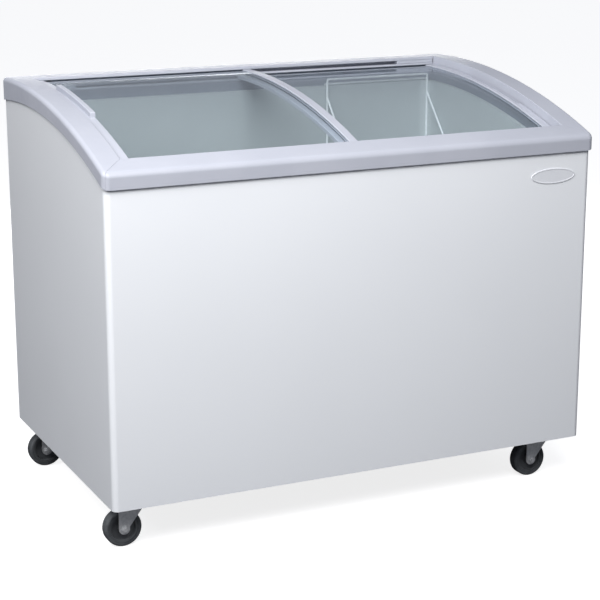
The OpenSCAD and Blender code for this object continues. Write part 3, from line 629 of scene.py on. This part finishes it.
def make_painted_body():
    """Front and sides folded from one sheet, open at the rear, with the top edge under the frame."""
    side_pitch = 14 * MM
    straight_top = BASE + BLANK_TOP
    body = add_block("painted_body", BODY_LOW, (BODY_HIGH.x, BODY_HIGH.y, straight_top))
    delete_faces(body, lambda c, n: abs(n.z) > 0.9 or n.y > 0.9)
    round_edges(body, EDGE_RADIUS, 6, lambda a, b: max(a.y, b.y) < FRONT + MM and abs(a.x - b.x) < MM)
    slice_across(body, 1, steps_between(FRONT + EDGE_RADIUS, BODY_HIGH.y, side_pitch))
    for vertex in body.data.vertices:
        if vertex.co.z > straight_top - MM:
            vertex.co.z = skirt_z(vertex.co.y, SHEET_TUCK)
    use_modifier(body, "SOLIDIFY", thickness=SHEET, offset=-1.0, use_even_offset=True)
    soft_shade(body)
    finish_piece(body, "cabinet", "white_enamel", "outer_wrap")


# ---------- top frame ----------

FRAME_EDGE_RADIUS = 14 * MM
FRAME_NOSE_RADIUS = 9 * MM
FRAME_WALL = 2.6 * MM
FLAT_SKIRT = 60 * MM
MITRE_GAP = 0.2 * MM
FRAME_END = 16 * MM
OPENING_EDGE_RADIUS = 1.6 * MM
TRACK_END_GAP = 0.4 * MM
STOP_X = 385 * MM
REAR_MITRE = (RING_HIGH.y - RAIL_REAR_EDGE) / (RING_HIGH.x - MEMBER_X)


def flat_ring():
    """The whole frame laid flat: top skin with its opening, and outer walls."""
    ring = add_block("ring", (RING_LOW.x, RING_LOW.y, -FLAT_SKIRT), (RING_HIGH.x, RING_HIGH.y, 0))
    delete_faces(ring, lambda c, n: n.z < -0.9)
    round_edges(ring, FRAME_EDGE_RADIUS, 8, lambda a, b: abs(a.z - b.z) > 10 * MM)
    slice_across(ring, 0, (-MEMBER_X, MEMBER_X))
    slice_across(ring, 1, (RAIL_FRONT_EDGE, RAIL_REAR_EDGE))
    delete_faces(ring, lambda c, n: n.z > 0.9 and abs(c.x) < 100 * MM and abs(c.y) < 100 * MM)
    return ring


def in_opening(point, margin=0.5 * MM):
    across = abs(point.x) < MEMBER_X + margin
    along = RAIL_FRONT_EDGE - margin < point.y < RAIL_REAR_EDGE + margin
    return across and along


def drop_opening_edge(ring, depth):
    """Folds the edge of the opening down into an inner wall."""
    pick_edges(ring, lambda a, b: a.z > -MM and b.z > -MM and in_opening(a) and in_opening(b))
    bpy.ops.mesh.extrude_region_move(TRANSFORM_OT_translate={"value": (0, 0, -depth)})
    object_mode()


def round_frame_edges(ring):
    """Rounds the nose all round the outside, and lightly the edge of the opening."""
    round_edges(ring, FRAME_NOSE_RADIUS, 6, lambda a, b: min(a.z, b.z) > -PLANE_SLACK
                and not in_opening(a) and not in_opening(b) and on_outline(a) and on_outline(b))
    round_edges(ring, OPENING_EDGE_RADIUS, 3, lambda a, b: min(a.z, b.z) > -PLANE_SLACK
                and in_opening(a) and in_opening(b))


def on_outline(point):
    """True on the outer outline of the frame, seen from above."""
    corner_x = RING_HIGH.x - FRAME_EDGE_RADIUS
    corner_y = RING_HIGH.y - FRAME_EDGE_RADIUS
    over_x = abs(point.x) - corner_x
    over_y = abs(point.y) - corner_y
    if over_x > 0 and over_y > 0:
        return abs(hypot(over_x, over_y) - FRAME_EDGE_RADIUS) < OUTLINE_SLACK
    return max(over_x, over_y) > FRAME_EDGE_RADIUS - OUTLINE_SLACK


def bend_frame(member):
    """Lays the member on the curved top, its lower edge on the skirt's own arc."""
    slice_across(member, 1, steps_between(RING_LOW.y + FRAME_END, RING_HIGH.y - FRAME_END, ARC_PITCH))
    for vertex in member.data.vertices:
        if vertex.co.z < MM - FLAT_SKIRT:
            vertex.co.z = skirt_z(vertex.co.y)
        else:
            vertex.co.z = top_z(vertex.co.y, -vertex.co.z)


def mitre_planes(side):
    """Points and normals of the front and rear mitres of one side, pointing at the side member."""
    front = Vector((side * MEMBER_X, RAIL_FRONT_EDGE, 0)), Vector((side, 1, 0)).normalized()
    rear = Vector((side * MEMBER_X, RAIL_REAR_EDGE, 0)), Vector((side * REAR_MITRE, -1, 0)).normalized()
    return front, rear


def make_side_member(side, name, node):
    member = flat_ring()
    drop_opening_edge(member, FLAT_SKIRT)
    round_frame_edges(member)
    for point, normal in mitre_planes(side):
        cut_away(member, point + normal * MITRE_GAP, -normal)
    cut_away(member, (0, 0, 0), (-side, 0, 0))
    bend_frame(member)
    use_modifier(member, "SOLIDIFY", thickness=FRAME_WALL, offset=-1.0, use_even_offset=True)
    soft_shade(member, 40)
    member.name = name
    member.data.name = name
    finish_piece(member, "cabinet", "frame_plastic", node)


def track_comb(edge_y, back_y):
    """Two stacked tracks, open towards the middle of the cabinet."""
    reach = MEMBER_X - TRACK_END_GAP
    low = (-reach, min(edge_y, back_y), -LIP_LEVEL)
    high = (reach, max(edge_y, back_y), MM - SKIN)
    comb = add_block("comb", low, high)
    slice_across(comb, 2, [-level for level in UPPER_SLOT + LOWER_SLOT])
    inward = 1 if edge_y > back_y else -1
    slots = (UPPER_SLOT, LOWER_SLOT)
    pick_faces(comb, lambda c, n: n.y * inward > 0.9 and any(top < -c.z < bottom for top, bottom in slots))
    depth = abs(back_y - edge_y) - FRAME_WALL
    bpy.ops.mesh.extrude_region_move(TRANSFORM_OT_translate={"value": (0, -inward * depth, 0)})
    object_mode()
    round_edges(comb, 0.5 * MM, 2, lambda a, b: abs(a.x - b.x) > MEMBER_X
                and max(abs(a.y - edge_y), abs(b.y - edge_y)) < PLANE_SLACK)
    lay_on_arc(comb)
    return comb


def make_rail(front, name, node):
    """Front or rear rail: moulded skin with the two lid tracks behind its edge."""
    rail = flat_ring()
    drop_opening_edge(rail, SKIN)
    round_frame_edges(rail)
    for side in (-1, 1):
        point, normal = mitre_planes(side)[0 if front else 1]
        cut_away(rail, point - normal * MITRE_GAP, normal)
    cut_away(rail, (0, 0, 0), (0, 1 if front else -1, 0))
    bend_frame(rail)
    use_modifier(rail, "SOLIDIFY", thickness=FRAME_WALL, offset=-1.0, use_even_offset=True)
    edge_y, slot_y = (RAIL_FRONT_EDGE, SLOT_FRONT) if front else (RAIL_REAR_EDGE, SLOT_REAR)
    comb = track_comb(edge_y, slot_y + (-FRAME_WALL if front else FRAME_WALL))
    rail = join(name, [rail, comb])
    soft_shade(rail, 40)
    finish_piece(rail, "cabinet", "frame_plastic", node)


def make_track_stop(name, node, x0, x1, slot):
    play = 0.1 * MM
    low = (x0, RAIL_REAR_EDGE + MM, play - slot[1])
    high = (x1, SLOT_REAR - 2 * play, -slot[0] - play)
    stop = add_block(name, low, high)
    round_edges(stop, 1.2 * MM, 3, lambda a, b: True)
    lay_on_arc(stop)
    soft_shade(stop)
    finish_piece(stop, "cabinet", "frame_plastic", node)


def make_top_frame():
    make_side_member(-1, "left_side_member", "side_frame_left")
    make_side_member(1, "right_side_member", "side_frame_right")
    make_rail(True, "front_rail_moulding", "front_rail")
    make_rail(False, "rear_rail_moulding", "rear_rail")
    far = MEMBER_X - TRACK_END_GAP
    make_track_stop("right_track_stop", "track_stop_right", STOP_X, far, UPPER_SLOT)
    make_track_stop("left_track_stop", "track_stop_left", -far, -STOP_X, LOWER_SLOT)


# ---------- lids ----------

LID_OUTER_X = MEMBER_X - 2 * MM
STRIP = 19 * MM
OVERLAP = 15 * MM
GLASS_IN = 7 * MM
PANE_FRONT = SLOT_FRONT + 3.5 * MM
PANE_REAR = SLOT_REAR - 3.5 * MM
STRIP_FRONT = RAIL_FRONT_EDGE + 2 * MM
STRIP_REAR = RAIL_REAR_EDGE - 2 * MM
STRIP_ABOVE = 2 * MM
STRIP_BELOW = 1.8 * MM
STRIP_EDGE_RADIUS = 1.7 * MM
STRIP_END = 3 * MM

# Raised grip of the upper lid: its width, its span along Y, and heights above and below the arc
GRIP_WIDTH = 11 * MM
RIDGE_SPAN = (-78 * MM, 132 * MM)
RIDGE_BOTTOM = -6.1 * MM
RIDGE_TOP = 4 * MM
UNDERCUT = (-4 * MM, MM)
UNDERCUT_DEPTH = 7 * MM
RIDGE_WALL = 8 * MM

# Finger pull sunk in the lower lid's strip
PULL_SPAN = (-125 * MM, 79 * MM)
PULL_INSET = 9.3 * MM
PULL_WIDTH = 8 * MM
PULL_DEPTH = 7 * MM


def make_pane(name, node, body, x0, x1, level):
    pane = add_block(name, (x0, PANE_FRONT, -level - PANE), (x1, PANE_REAR, -level))
    round_edges(pane, 0.7 * MM, 2, lambda a, b: True)
    slice_across(pane, 1, steps_between(PANE_FRONT + MM, PANE_REAR - MM, ARC_PITCH))
    lay_on_arc(pane)
    soft_shade(pane)
    finish_piece(pane, body, "lid_glass", node)


def grooved_strip(name, x0, level, glass_side):
    """Flat strip with a groove for the pane along one side."""
    top = STRIP_ABOVE - level
    low = (x0, STRIP_FRONT, -level - PANE - STRIP_BELOW)
    strip = add_block(name, low, (x0 + STRIP, STRIP_REAR, top))
    slice_across(strip, 2, (-level - PANE, -level))
    pick_faces(strip, lambda c, n: n.x * glass_side > 0.9 and -level - PANE < c.z < -level)
    bpy.ops.mesh.extrude_region_move(TRANSFORM_OT_translate={"value": (-glass_side * GLASS_IN, 0, 0)})
    object_mode()
    round_edges(strip, STRIP_EDGE_RADIUS, 4, lambda a, b: min(a.z, b.z) > top - PLANE_SLACK)
    return strip


def bend_strip(strip):
    slice_across(strip, 1, steps_between(STRIP_FRONT + STRIP_END, STRIP_REAR - STRIP_END, ARC_PITCH))
    lay_on_arc(strip)
    soft_shade(strip, 40)


def finger_ridge(x0):
    """Raised grip with an undercut for the finger tips, laid flat."""
    y0, y1 = RIDGE_SPAN
    low, high = UNDERCUT
    inner0, inner1 = y0 + RIDGE_WALL, y1 - RIDGE_WALL
    ridge = add_block("ridge", (x0, y0, RIDGE_BOTTOM), (x0 + GRIP_WIDTH, y1, RIDGE_TOP))
    slice_across(ridge, 1, (inner0, inner1))
    slice_across(ridge, 2, (low, high))
    pick_faces(ridge, lambda c, n: n.x > 0.9 and inner0 < c.y < inner1 and low < c.z < high)
    bpy.ops.mesh.extrude_region_move(TRANSFORM_OT_translate={"value": (-UNDERCUT_DEPTH, 0, 0)})
    object_mode()
    round_edges(ridge, 2 * MM, 4, lambda a, b: min(a.z, b.z) > RIDGE_TOP - PLANE_SLACK)
    slice_across(ridge, 1, steps_between(inner0 + MM, inner1 - MM, ARC_PITCH))
    lay_on_arc(ridge)
    soft_shade(ridge, 40)
    return ridge


def sink_finger_pocket(strip, x0, level):
    """A long pull sunk into the top of the strip."""
    y0, y1 = PULL_SPAN
    x1 = x0 + PULL_WIDTH
    slice_across(strip, 0, (x0, x1))
    slice_across(strip, 1, (y0, y1))
    pick_faces(strip, lambda c, n: n.z > 0.9 and x0 < c.x < x1 and y0 < c.y < y1 and c.z > MM - level)
    bpy.ops.mesh.extrude_region_move(TRANSFORM_OT_translate={"value": (0, 0, -PULL_DEPTH)})
    object_mode()


def make_left_lid():
    """Upper lid: pane, side strips, raised grip."""
    x0 = -LID_OUTER_X
    pane = (x0 + STRIP - GLASS_IN, OVERLAP - STRIP + GLASS_IN)
    make_pane("left_pane", "left_glass", "left_lid", *pane, UPPER_PANE)
    grip = grooved_strip("left_grip", x0, UPPER_PANE, 1)
    bend_strip(grip)
    grip = join("left_grip", [grip, finger_ridge(x0 + STRIP - GRIP_WIDTH)])
    finish_piece(grip, "left_lid", "strip_plastic", "left_grip_strip")
    inner = grooved_strip("left_centre_strip", OVERLAP - STRIP, UPPER_PANE, -1)
    bend_strip(inner)
    finish_piece(inner, "left_lid", "strip_plastic", "left_inner_strip")


def make_right_lid():
    """Lower lid: pane, side strips, sunk grip."""
    x1 = LID_OUTER_X
    pane = (STRIP - GLASS_IN - OVERLAP, x1 - STRIP + GLASS_IN)
    make_pane("right_pane", "right_glass", "right_lid", *pane, LOWER_PANE)
    grip = grooved_strip("right_grip", x1 - STRIP, LOWER_PANE, -1)
    sink_finger_pocket(grip, x1 - STRIP + PULL_INSET, LOWER_PANE)
    bend_strip(grip)
    finish_piece(grip, "right_lid", "strip_plastic", "right_grip_strip")
    inner = grooved_strip("right_centre_strip", -OVERLAP, LOWER_PANE, 1)
    bend_strip(inner)
    finish_piece(inner, "right_lid", "strip_plastic", "right_inner_strip")


# ---------- mouth and tub ----------

COLLAR_FRONT = -270 * MM
COLLAR_REAR = 264 * MM
COLLAR_WALL = 3 * MM
BLANK_DEPTH = 50 * MM
MOUTH_CORNER = 9 * MM
MOUTH_EDGE_RADIUS = 2.2 * MM
TUB_CORNER = 22 * MM
TUB_FOLD = 9 * MM
LEDGE_X = 475 * MM
LEDGE_Y = 270 * MM


def make_collar():
    """Plastic collar round the mouth: a flange under the tracks and a wall down to the tub."""
    gap = 0.2 * MM
    outer_x = MEMBER_X - gap
    top = -LIP_LEVEL - gap
    collar = add_block("mouth_collar", (-outer_x, COLLAR_FRONT, top - BLANK_DEPTH), (outer_x, COLLAR_REAR, top))
    delete_faces(collar, lambda c, n: n.z < 0.9)
    slice_across(collar, 0, (-MOUTH_X, MOUTH_X))
    slice_across(collar, 1, (-MOUTH_Y, MOUTH_Y))
    delete_faces(collar, lambda c, n: abs(c.x) < 100 * MM and abs(c.y) < 100 * MM)
    reach_x = MOUTH_X + OUTLINE_SLACK
    reach_y = MOUTH_Y + OUTLINE_SLACK
    pick_edges(collar, lambda a, b: max(abs(a.x), abs(b.x)) < reach_x and max(abs(a.y), abs(b.y)) < reach_y)
    drop = LIP_LEVEL - COLLAR_LEVEL + 2 * gap
    bpy.ops.mesh.extrude_region_move(TRANSFORM_OT_translate={"value": (0, 0, drop)})
    object_mode()
    round_edges(collar, MOUTH_CORNER, 5, lambda a, b: abs(a.z - b.z) > 5 * MM)
    round_edges(collar, MOUTH_EDGE_RADIUS, 3, lambda a, b: min(a.z, b.z) > top - PLANE_SLACK
                and on_mouth(a) and on_mouth(b))
    straight_end = MOUTH_Y - 12 * MM
    slice_across(collar, 1, steps_between(-straight_end, straight_end, ARC_PITCH))
    lay_on_arc(collar)
    use_modifier(collar, "SOLIDIFY", thickness=COLLAR_WALL, offset=-1.0, use_even_offset=True)
    soft_shade(collar, 40)
    finish_piece(collar, "cabinet", "collar_plastic", "breaker_collar")


def on_mouth(point):
    """True on the rounded outline of the mouth, seen from above."""
    over_x = abs(point.x) - MOUTH_X + MOUTH_CORNER
    over_y = abs(point.y) - MOUTH_Y + MOUTH_CORNER
    if over_x > 0 and over_y > 0:
        return abs(hypot(over_x, over_y) - MOUTH_CORNER) < OUTLINE_SLACK
    return abs(max(over_x, over_y) - MOUTH_CORNER) < OUTLINE_SLACK


def make_tub():
    """Stepped tub of embossed sheet with rounded corners and a ledge round its mouth."""
    tub = add_block("inner_tub", (-TUB_X, -TUB_Y, TUB_FLOOR), (STEP_X, TUB_Y, BLANK_TOP))
    slice_across(tub, 2, (STEP_FLOOR,))
    pick_faces(tub, lambda c, n: n.x > 0.9 and c.z > STEP_FLOOR)
    bpy.ops.mesh.extrude_region_move(TRANSFORM_OT_translate={"value": (TUB_X - STEP_X, 0, 0)})
    object_mode()
    delete_faces(tub, lambda c, n: n.z > 0.9 and c.z > BLANK_TOP - MM)
    round_edges(tub, TUB_CORNER, 5, lambda a, b: abs(a.z - b.z) > 30 * MM and abs(a.x - STEP_X) > MM)
    round_edges(tub, TUB_FOLD, 4, lambda a, b: max(a.z, b.z) < STEP_FLOOR + PLANE_SLACK
                and abs(a.z - b.z) < PLANE_SLACK)
    straight_end = TUB_Y - TUB_CORNER - 2 * MM
    slice_across(tub, 1, steps_between(-straight_end, straight_end, 20 * MM))
    pick_edges(tub, lambda a, b: min(a.z, b.z) > BLANK_TOP - MM and abs(a.z - b.z) < PLANE_SLACK)
    bpy.ops.mesh.extrude_region_move()
    bpy.ops.transform.resize(value=(LEDGE_X / TUB_X, LEDGE_Y / TUB_Y, 1), center_override=(0, 0, 0))
    object_mode()
    for vertex in tub.data.vertices:
        if vertex.co.z > BLANK_TOP - MM:
            vertex.co.z = top_z(vertex.co.y, COLLAR_LEVEL)
    pick_all(tub)
    bpy.ops.mesh.flip_normals()
    object_mode()
    use_modifier(tub, "SOLIDIFY", thickness=SHEET, offset=-1.0, use_even_offset=True)
    plug_low, plug_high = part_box("drain_plug")
    drill_through(tub, (plug_low + plug_high) / 2, DRAIN_RADIUS)
    soft_shade(tub, 40)
    finish_piece(tub, "cabinet", "liner_sheet", "liner")


# ---------- basket ----------

BASKET_LOW, BASKET_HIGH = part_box("basket")
RIM_WIRE = 2.5 * MM
THIN_WIRE = 1.5 * MM
BASKET_SIDE_Y = 239.5 * MM
BASKET_DEPTH = 190 * MM
RIM_DROP = 68 * MM
HANGER_RISE = 12 * MM
BRACE_BELOW = 42 * MM
BRACE_RUN = 105 * MM


def bent_path(corners, radius, closed=False):
    """Points along straight runs with rounded corners."""
    steps = 5
    corners = [Vector(corner) for corner in corners]
    count = len(corners)
    points = []
    for i, corner in enumerate(corners):
        if not closed and i in (0, count - 1):
            points.append(corner)
            continue
        before = (corners[i - 1] - corner).normalized()
        after = (corners[(i + 1) % count] - corner).normalized()
        start = corner + before * radius
        end = corner + after * radius
        for step in range(steps + 1):
            t = step / steps
            points.append(start * (1 - t) ** 2 + corner * 2 * t * (1 - t) + end * t ** 2)
    return points


def wire(name, corners, radius, bend=6 * MM, closed=False, resolution=2):
    """Round wire along bent straight runs, as a closed mesh."""
    curve = bpy.data.curves.new(name, "CURVE")
    curve.dimensions = "3D"
    curve.bevel_depth = radius
    curve.bevel_resolution = resolution
    curve.use_fill_caps = True
    spline = curve.splines.new("POLY")
    points = bent_path(corners, bend, closed) if len(corners) > 2 else [Vector(c) for c in corners]
    spline.points.add(len(points) - 1)
    for target, point in zip(spline.points, points):
        target.co = (*point, 1)
    spline.use_cyclic_u = closed
    strand = bpy.data.objects.new(name, curve)
    bpy.context.scene.collection.objects.link(strand)
    only(strand)
    bpy.ops.object.convert(target="MESH")
    strand = bpy.context.object
    outward(strand)
    return strand


def make_basket():
    """Welded basket: a box of bent wires hung between a front hook and a tall rear hanger."""
    x0, x1 = BASKET_LOW.x + RIM_WIRE, BASKET_HIGH.x - RIM_WIRE
    front_hook, rear_hook = BASKET_LOW.y + RIM_WIRE, BASKET_HIGH.y - RIM_WIRE
    y0, y1 = -BASKET_SIDE_Y, BASKET_SIDE_Y
    floor = BASKET_LOW.z + THIN_WIRE
    rim = floor + BASKET_DEPTH
    hanger = BASKET_HIGH.z - RIM_WIRE
    low_hook = rim + RIM_DROP
    high_hook = hanger - HANGER_RISE
    parts = [wire("rim", [(x0, y0, rim), (x1, y0, rim), (x1, y1, rim), (x0, y1, rim)], RIM_WIRE, 7 * MM, True, 3)]
    front = [(x0, y0, rim), (x0, y0, low_hook), (x0, front_hook, low_hook),
             (x1, front_hook, low_hook), (x1, y0, low_hook), (x1, y0, rim)]
    parts.append(wire("front_hook", front, RIM_WIRE, 5 * MM, False, 3))
    parts.append(wire("hanger", [(x0, y1, rim), (x0, y1, hanger), (x1, y1, hanger), (x1, y1, rim)],
                      RIM_WIRE, 5 * MM, False, 3))
    rear = [(x0, y1, high_hook), (x0, rear_hook, high_hook), (x1, rear_hook, high_hook), (x1, y1, high_hook)]
    parts.append(wire("rear_hook", rear, RIM_WIRE, 5 * MM, False, 3))
    for x in (x0, x1):
        brace = [(x, y1, hanger - BRACE_BELOW), (x, y1 - BRACE_RUN, rim)]
        parts.append(wire("brace", brace, RIM_WIRE * 0.9, resolution=3))
    cross_wires, long_wires = 8, 6
    for i in range(cross_wires + 1):
        y = y0 + (y1 - y0) * i / cross_wires
        parts.append(wire("cross", [(x0, y, rim), (x0, y, floor), (x1, y, floor), (x1, y, rim)], THIN_WIRE))
    for i in range(1, long_wires):
        x = x0 + (x1 - x0) * i / long_wires
        low = floor + 2 * THIN_WIRE
        parts.append(wire("long", [(x, y0, rim), (x, y0, low), (x, y1, low), (x, y1, rim)], THIN_WIRE))
    for share in (1 / 3, 2 / 3):
        z = floor + (rim - floor) * share
        hoop = [(x0, y0, z), (x1, y0, z), (x1, y1, z), (x0, y1, z)]
        parts.append(wire("hoop", hoop, THIN_WIRE, 7 * MM, True))
    basket = join("wire_basket_mesh", parts)
    soft_shade(basket, 60)
    finish_piece(basket, "wire_basket", "basket_wire", "basket")


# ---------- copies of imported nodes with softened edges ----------

def soften(node, name, body, slot, radius):
    """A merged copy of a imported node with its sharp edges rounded."""
    merge_distance = 0.01 * MM
    flat_angle = radians(1.5)
    sharp_angle = radians(28)
    mesh = frame["nodes"][node].data.copy()
    twin = bpy.data.objects.new(name, mesh)
    mesh.name = name
    bpy.context.scene.collection.objects.link(twin)
    pick_all(twin)
    bpy.ops.mesh.customdata_custom_splitnormals_clear()
    bpy.ops.mesh.remove_doubles(threshold=merge_distance)
    bpy.ops.mesh.dissolve_limited(angle_limit=flat_angle)
    object_mode()
    use_modifier(twin, "BEVEL", width=radius, segments=2, limit_method="ANGLE",
                 angle_limit=sharp_angle, miter_outer="MITER_ARC")
    soft_shade(twin)
    finish_piece(twin, body, slot, node)


# ---------- castors ----------

CORNERS = ("fl", "fr", "rl", "rr")
TRAIL_TURN = pi
WHEEL_RADIUS = 37.5 * MM
TYRE_HALF = 12 * MM
TYRE_SHOULDER = 4.5 * MM
TYRE_BORE = 29.6 * MM
HUB_RADIUS = 28.9 * MM
HUB_WIDTH = 20 * MM
HUB_RIM = 3.4 * MM
HUB_SLOPE = 1.2 * MM
HUB_DISH = 7 * MM
HUB_DISH_WIDTH = 13 * MM
HUB_BOSS = 9 * MM


def make_tyre():
    """Tyre standing upright at the origin, its axis along Y."""
    tyre = add_disc("tyre", WHEEL_RADIUS, 2 * TYRE_HALF, turn=(pi / 2, 0, 0), sides=64)
    round_edges(tyre, TYRE_SHOULDER, 5, lambda a, b: abs(abs(a.y) - TYRE_HALF) < PLANE_SLACK
                and abs(a.y - b.y) < PLANE_SLACK)
    for side in (-1, 1):
        pick_faces(tyre, lambda c, n: n.y * side > 0.99)
        bpy.ops.mesh.inset(thickness=0.9 * MM)
        bpy.ops.mesh.inset(thickness=0.4 * MM, depth=-0.7 * MM)
        bpy.ops.mesh.inset(thickness=2.4 * MM)
        bpy.ops.mesh.delete(type="FACE")
        object_mode()
    pick_edges(tyre, lambda a, b: hypot(a.x, a.z) < TYRE_BORE and hypot(b.x, b.z) < TYRE_BORE)
    bpy.ops.mesh.bridge_edge_loops()
    object_mode()
    outward(tyre)
    soft_shade(tyre, 40)
    return tyre


def make_hub():
    """Dished wheel centre with a raised boss."""
    hub = add_disc("hub", HUB_RADIUS, HUB_WIDTH, turn=(pi / 2, 0, 0), sides=64)
    for side in (-1, 1):
        pick_faces(hub, lambda c, n: n.y * side > 0.99)
        bpy.ops.mesh.inset(thickness=HUB_RIM)
        bpy.ops.mesh.inset(thickness=HUB_SLOPE, depth=-HUB_DISH)
        bpy.ops.mesh.inset(thickness=HUB_DISH_WIDTH)
        bpy.ops.mesh.inset(thickness=HUB_SLOPE, depth=HUB_BOSS)
        object_mode()
    soft_shade(hub, 30)
    return hub


def make_castors():
    """Wheels copied to their places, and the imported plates, forks and axles with rounded edges."""
    tyre = make_tyre()
    hub = make_hub()
    for corner in CORNERS:
        low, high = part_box("castor_tyre_" + corner)
        middle = (low + high) / 2
        swivel = "castor_swivel_" + corner
        for pattern, part, slot in ((tyre, "tyre", "castor_rubber"), (hub, "hub", "hub_plastic")):
            wheel = copy_of(pattern, "wheel_" + part + "_" + corner)
            place(wheel, TRAIL_TURN, middle)
            finish_piece(wheel, "castor_wheel_" + corner, slot, "castor_" + part + "_" + corner)
        soften("castor_fork_" + corner, "fork_" + corner, swivel, "castor_zinc", 0.5 * MM)
        soften("castor_axle_" + corner, "axle_" + corner, swivel, "castor_zinc", 0.4 * MM)
        soften("castor_plate_" + corner, "top_plate_" + corner, "cabinet", "castor_zinc", 0.4 * MM)
    for pattern in (tyre, hub):
        bpy.data.objects.remove(pattern)


# ---------- badge, rear parts and drain ----------

def make_badge():
    """Blank oval plate with a raised rim."""
    low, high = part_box("badge")
    middle = (low + high) / 2
    badge = add_disc("oval_badge", 0.5, 1, middle, (pi / 2, 0, 0), 96)
    size = high - low
    for vertex in badge.data.vertices:
        for axis in range(3):
            share = vertex.co[axis] - middle[axis]
            vertex.co[axis] = middle[axis] + share * size[axis]
    pick_faces(badge, lambda c, n: n.y < -0.9)
    bpy.ops.mesh.bevel(offset=0.5 * MM, segments=3, affect="EDGES")
    object_mode()
    pick_faces(badge, lambda c, n: n.y < -0.99)
    bpy.ops.mesh.inset(thickness=1.6 * MM)
    bpy.ops.mesh.inset(thickness=0.5 * MM, depth=-0.6 * MM)
    object_mode()
    soft_shade(badge, 30)
    finish_piece(badge, "cabinet", "badge_plate", "badge")


GRILLE_SLOT = (100 * MM, 6 * MM)
GRILLE_ROWS = 8
GRILLE_PITCH = 14 * MM
GRILLE_FIRST_SLOT = (22 * MM, 46 * MM)
GRILLE_END_MARGINS = 34 * MM
DIAL_HOLE = 15.5 * MM
GLAND_HOLE = 9 * MM


def grille_slots(low, high):
    """Low corners of the two columns of slots, as X and Z."""
    column_pitch = (high.x - low.x - GRILLE_END_MARGINS) / 2
    columns = [low.x + GRILLE_FIRST_SLOT[0] + i * column_pitch for i in range(2)]
    rows = [low.z + GRILLE_FIRST_SLOT[1] + i * GRILLE_PITCH for i in range(GRILLE_ROWS)]
    return columns, rows


def open_slot(plate, x, z):
    """Cuts one slot through the plate, by joining its two faces."""
    far_x = x + GRILLE_SLOT[0]
    far_z = z + GRILLE_SLOT[1]
    pick_faces(plate, lambda c, n: abs(n.y) > 0.9 and x < c.x < far_x and z < c.z < far_z)
    bpy.ops.mesh.bridge_edge_loops()
    object_mode()


def make_grille():
    """Slotted cover plate with two round holes, its outer edges and slots rounded."""
    low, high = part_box("rear_grille")
    plate = add_block("vent_grille", low, high)
    columns, rows = grille_slots(low, high)
    slice_across(plate, 0, [x + reach for x in columns for reach in (0, GRILLE_SLOT[0])])
    slice_across(plate, 2, [z + reach for z in rows for reach in (0, GRILLE_SLOT[1])])
    for x in columns:
        for z in rows:
            open_slot(plate, x, z)
    outward(plate)
    use_modifier(plate, "BEVEL", width=0.5 * MM, segments=2, limit_method="ANGLE", angle_limit=radians(40))
    for node, radius in (("thermostat_knob", DIAL_HOLE), ("cord_gland", GLAND_HOLE)):
        node_low, node_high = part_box(node)
        drill_through(plate, (node_low + node_high) / 2, radius, (pi / 2, 0, 0))
    soft_shade(plate, 30)
    finish_piece(plate, "cabinet", "grille_plastic", "rear_grille")


def make_rear_parts():
    """Dial, gland, screws and drain pieces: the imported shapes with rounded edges."""
    soften("thermostat_knob", "dial", "thermostat_dial", "dial_plastic", 0.5 * MM)
    soften("cord_gland", "mains_gland", "cabinet", "black_rubber", 0.6 * MM)
    soften("grille_screws", "cover_screws", "cabinet", "zinc_sheet", 0.3 * MM)
    soften("drain_cap", "outlet_plug_cap", "outlet_cap", "drain_plastic", 0.6 * MM)
    soften("drain_plug", "tub_plug", "tub_drain_plug", "drain_plastic", 0.6 * MM)


make_painted_body()
make_top_frame()
make_left_lid()
make_right_lid()
make_collar()
make_tub()
make_basket()
make_castors()
make_badge()
make_grille()
make_rear_parts()
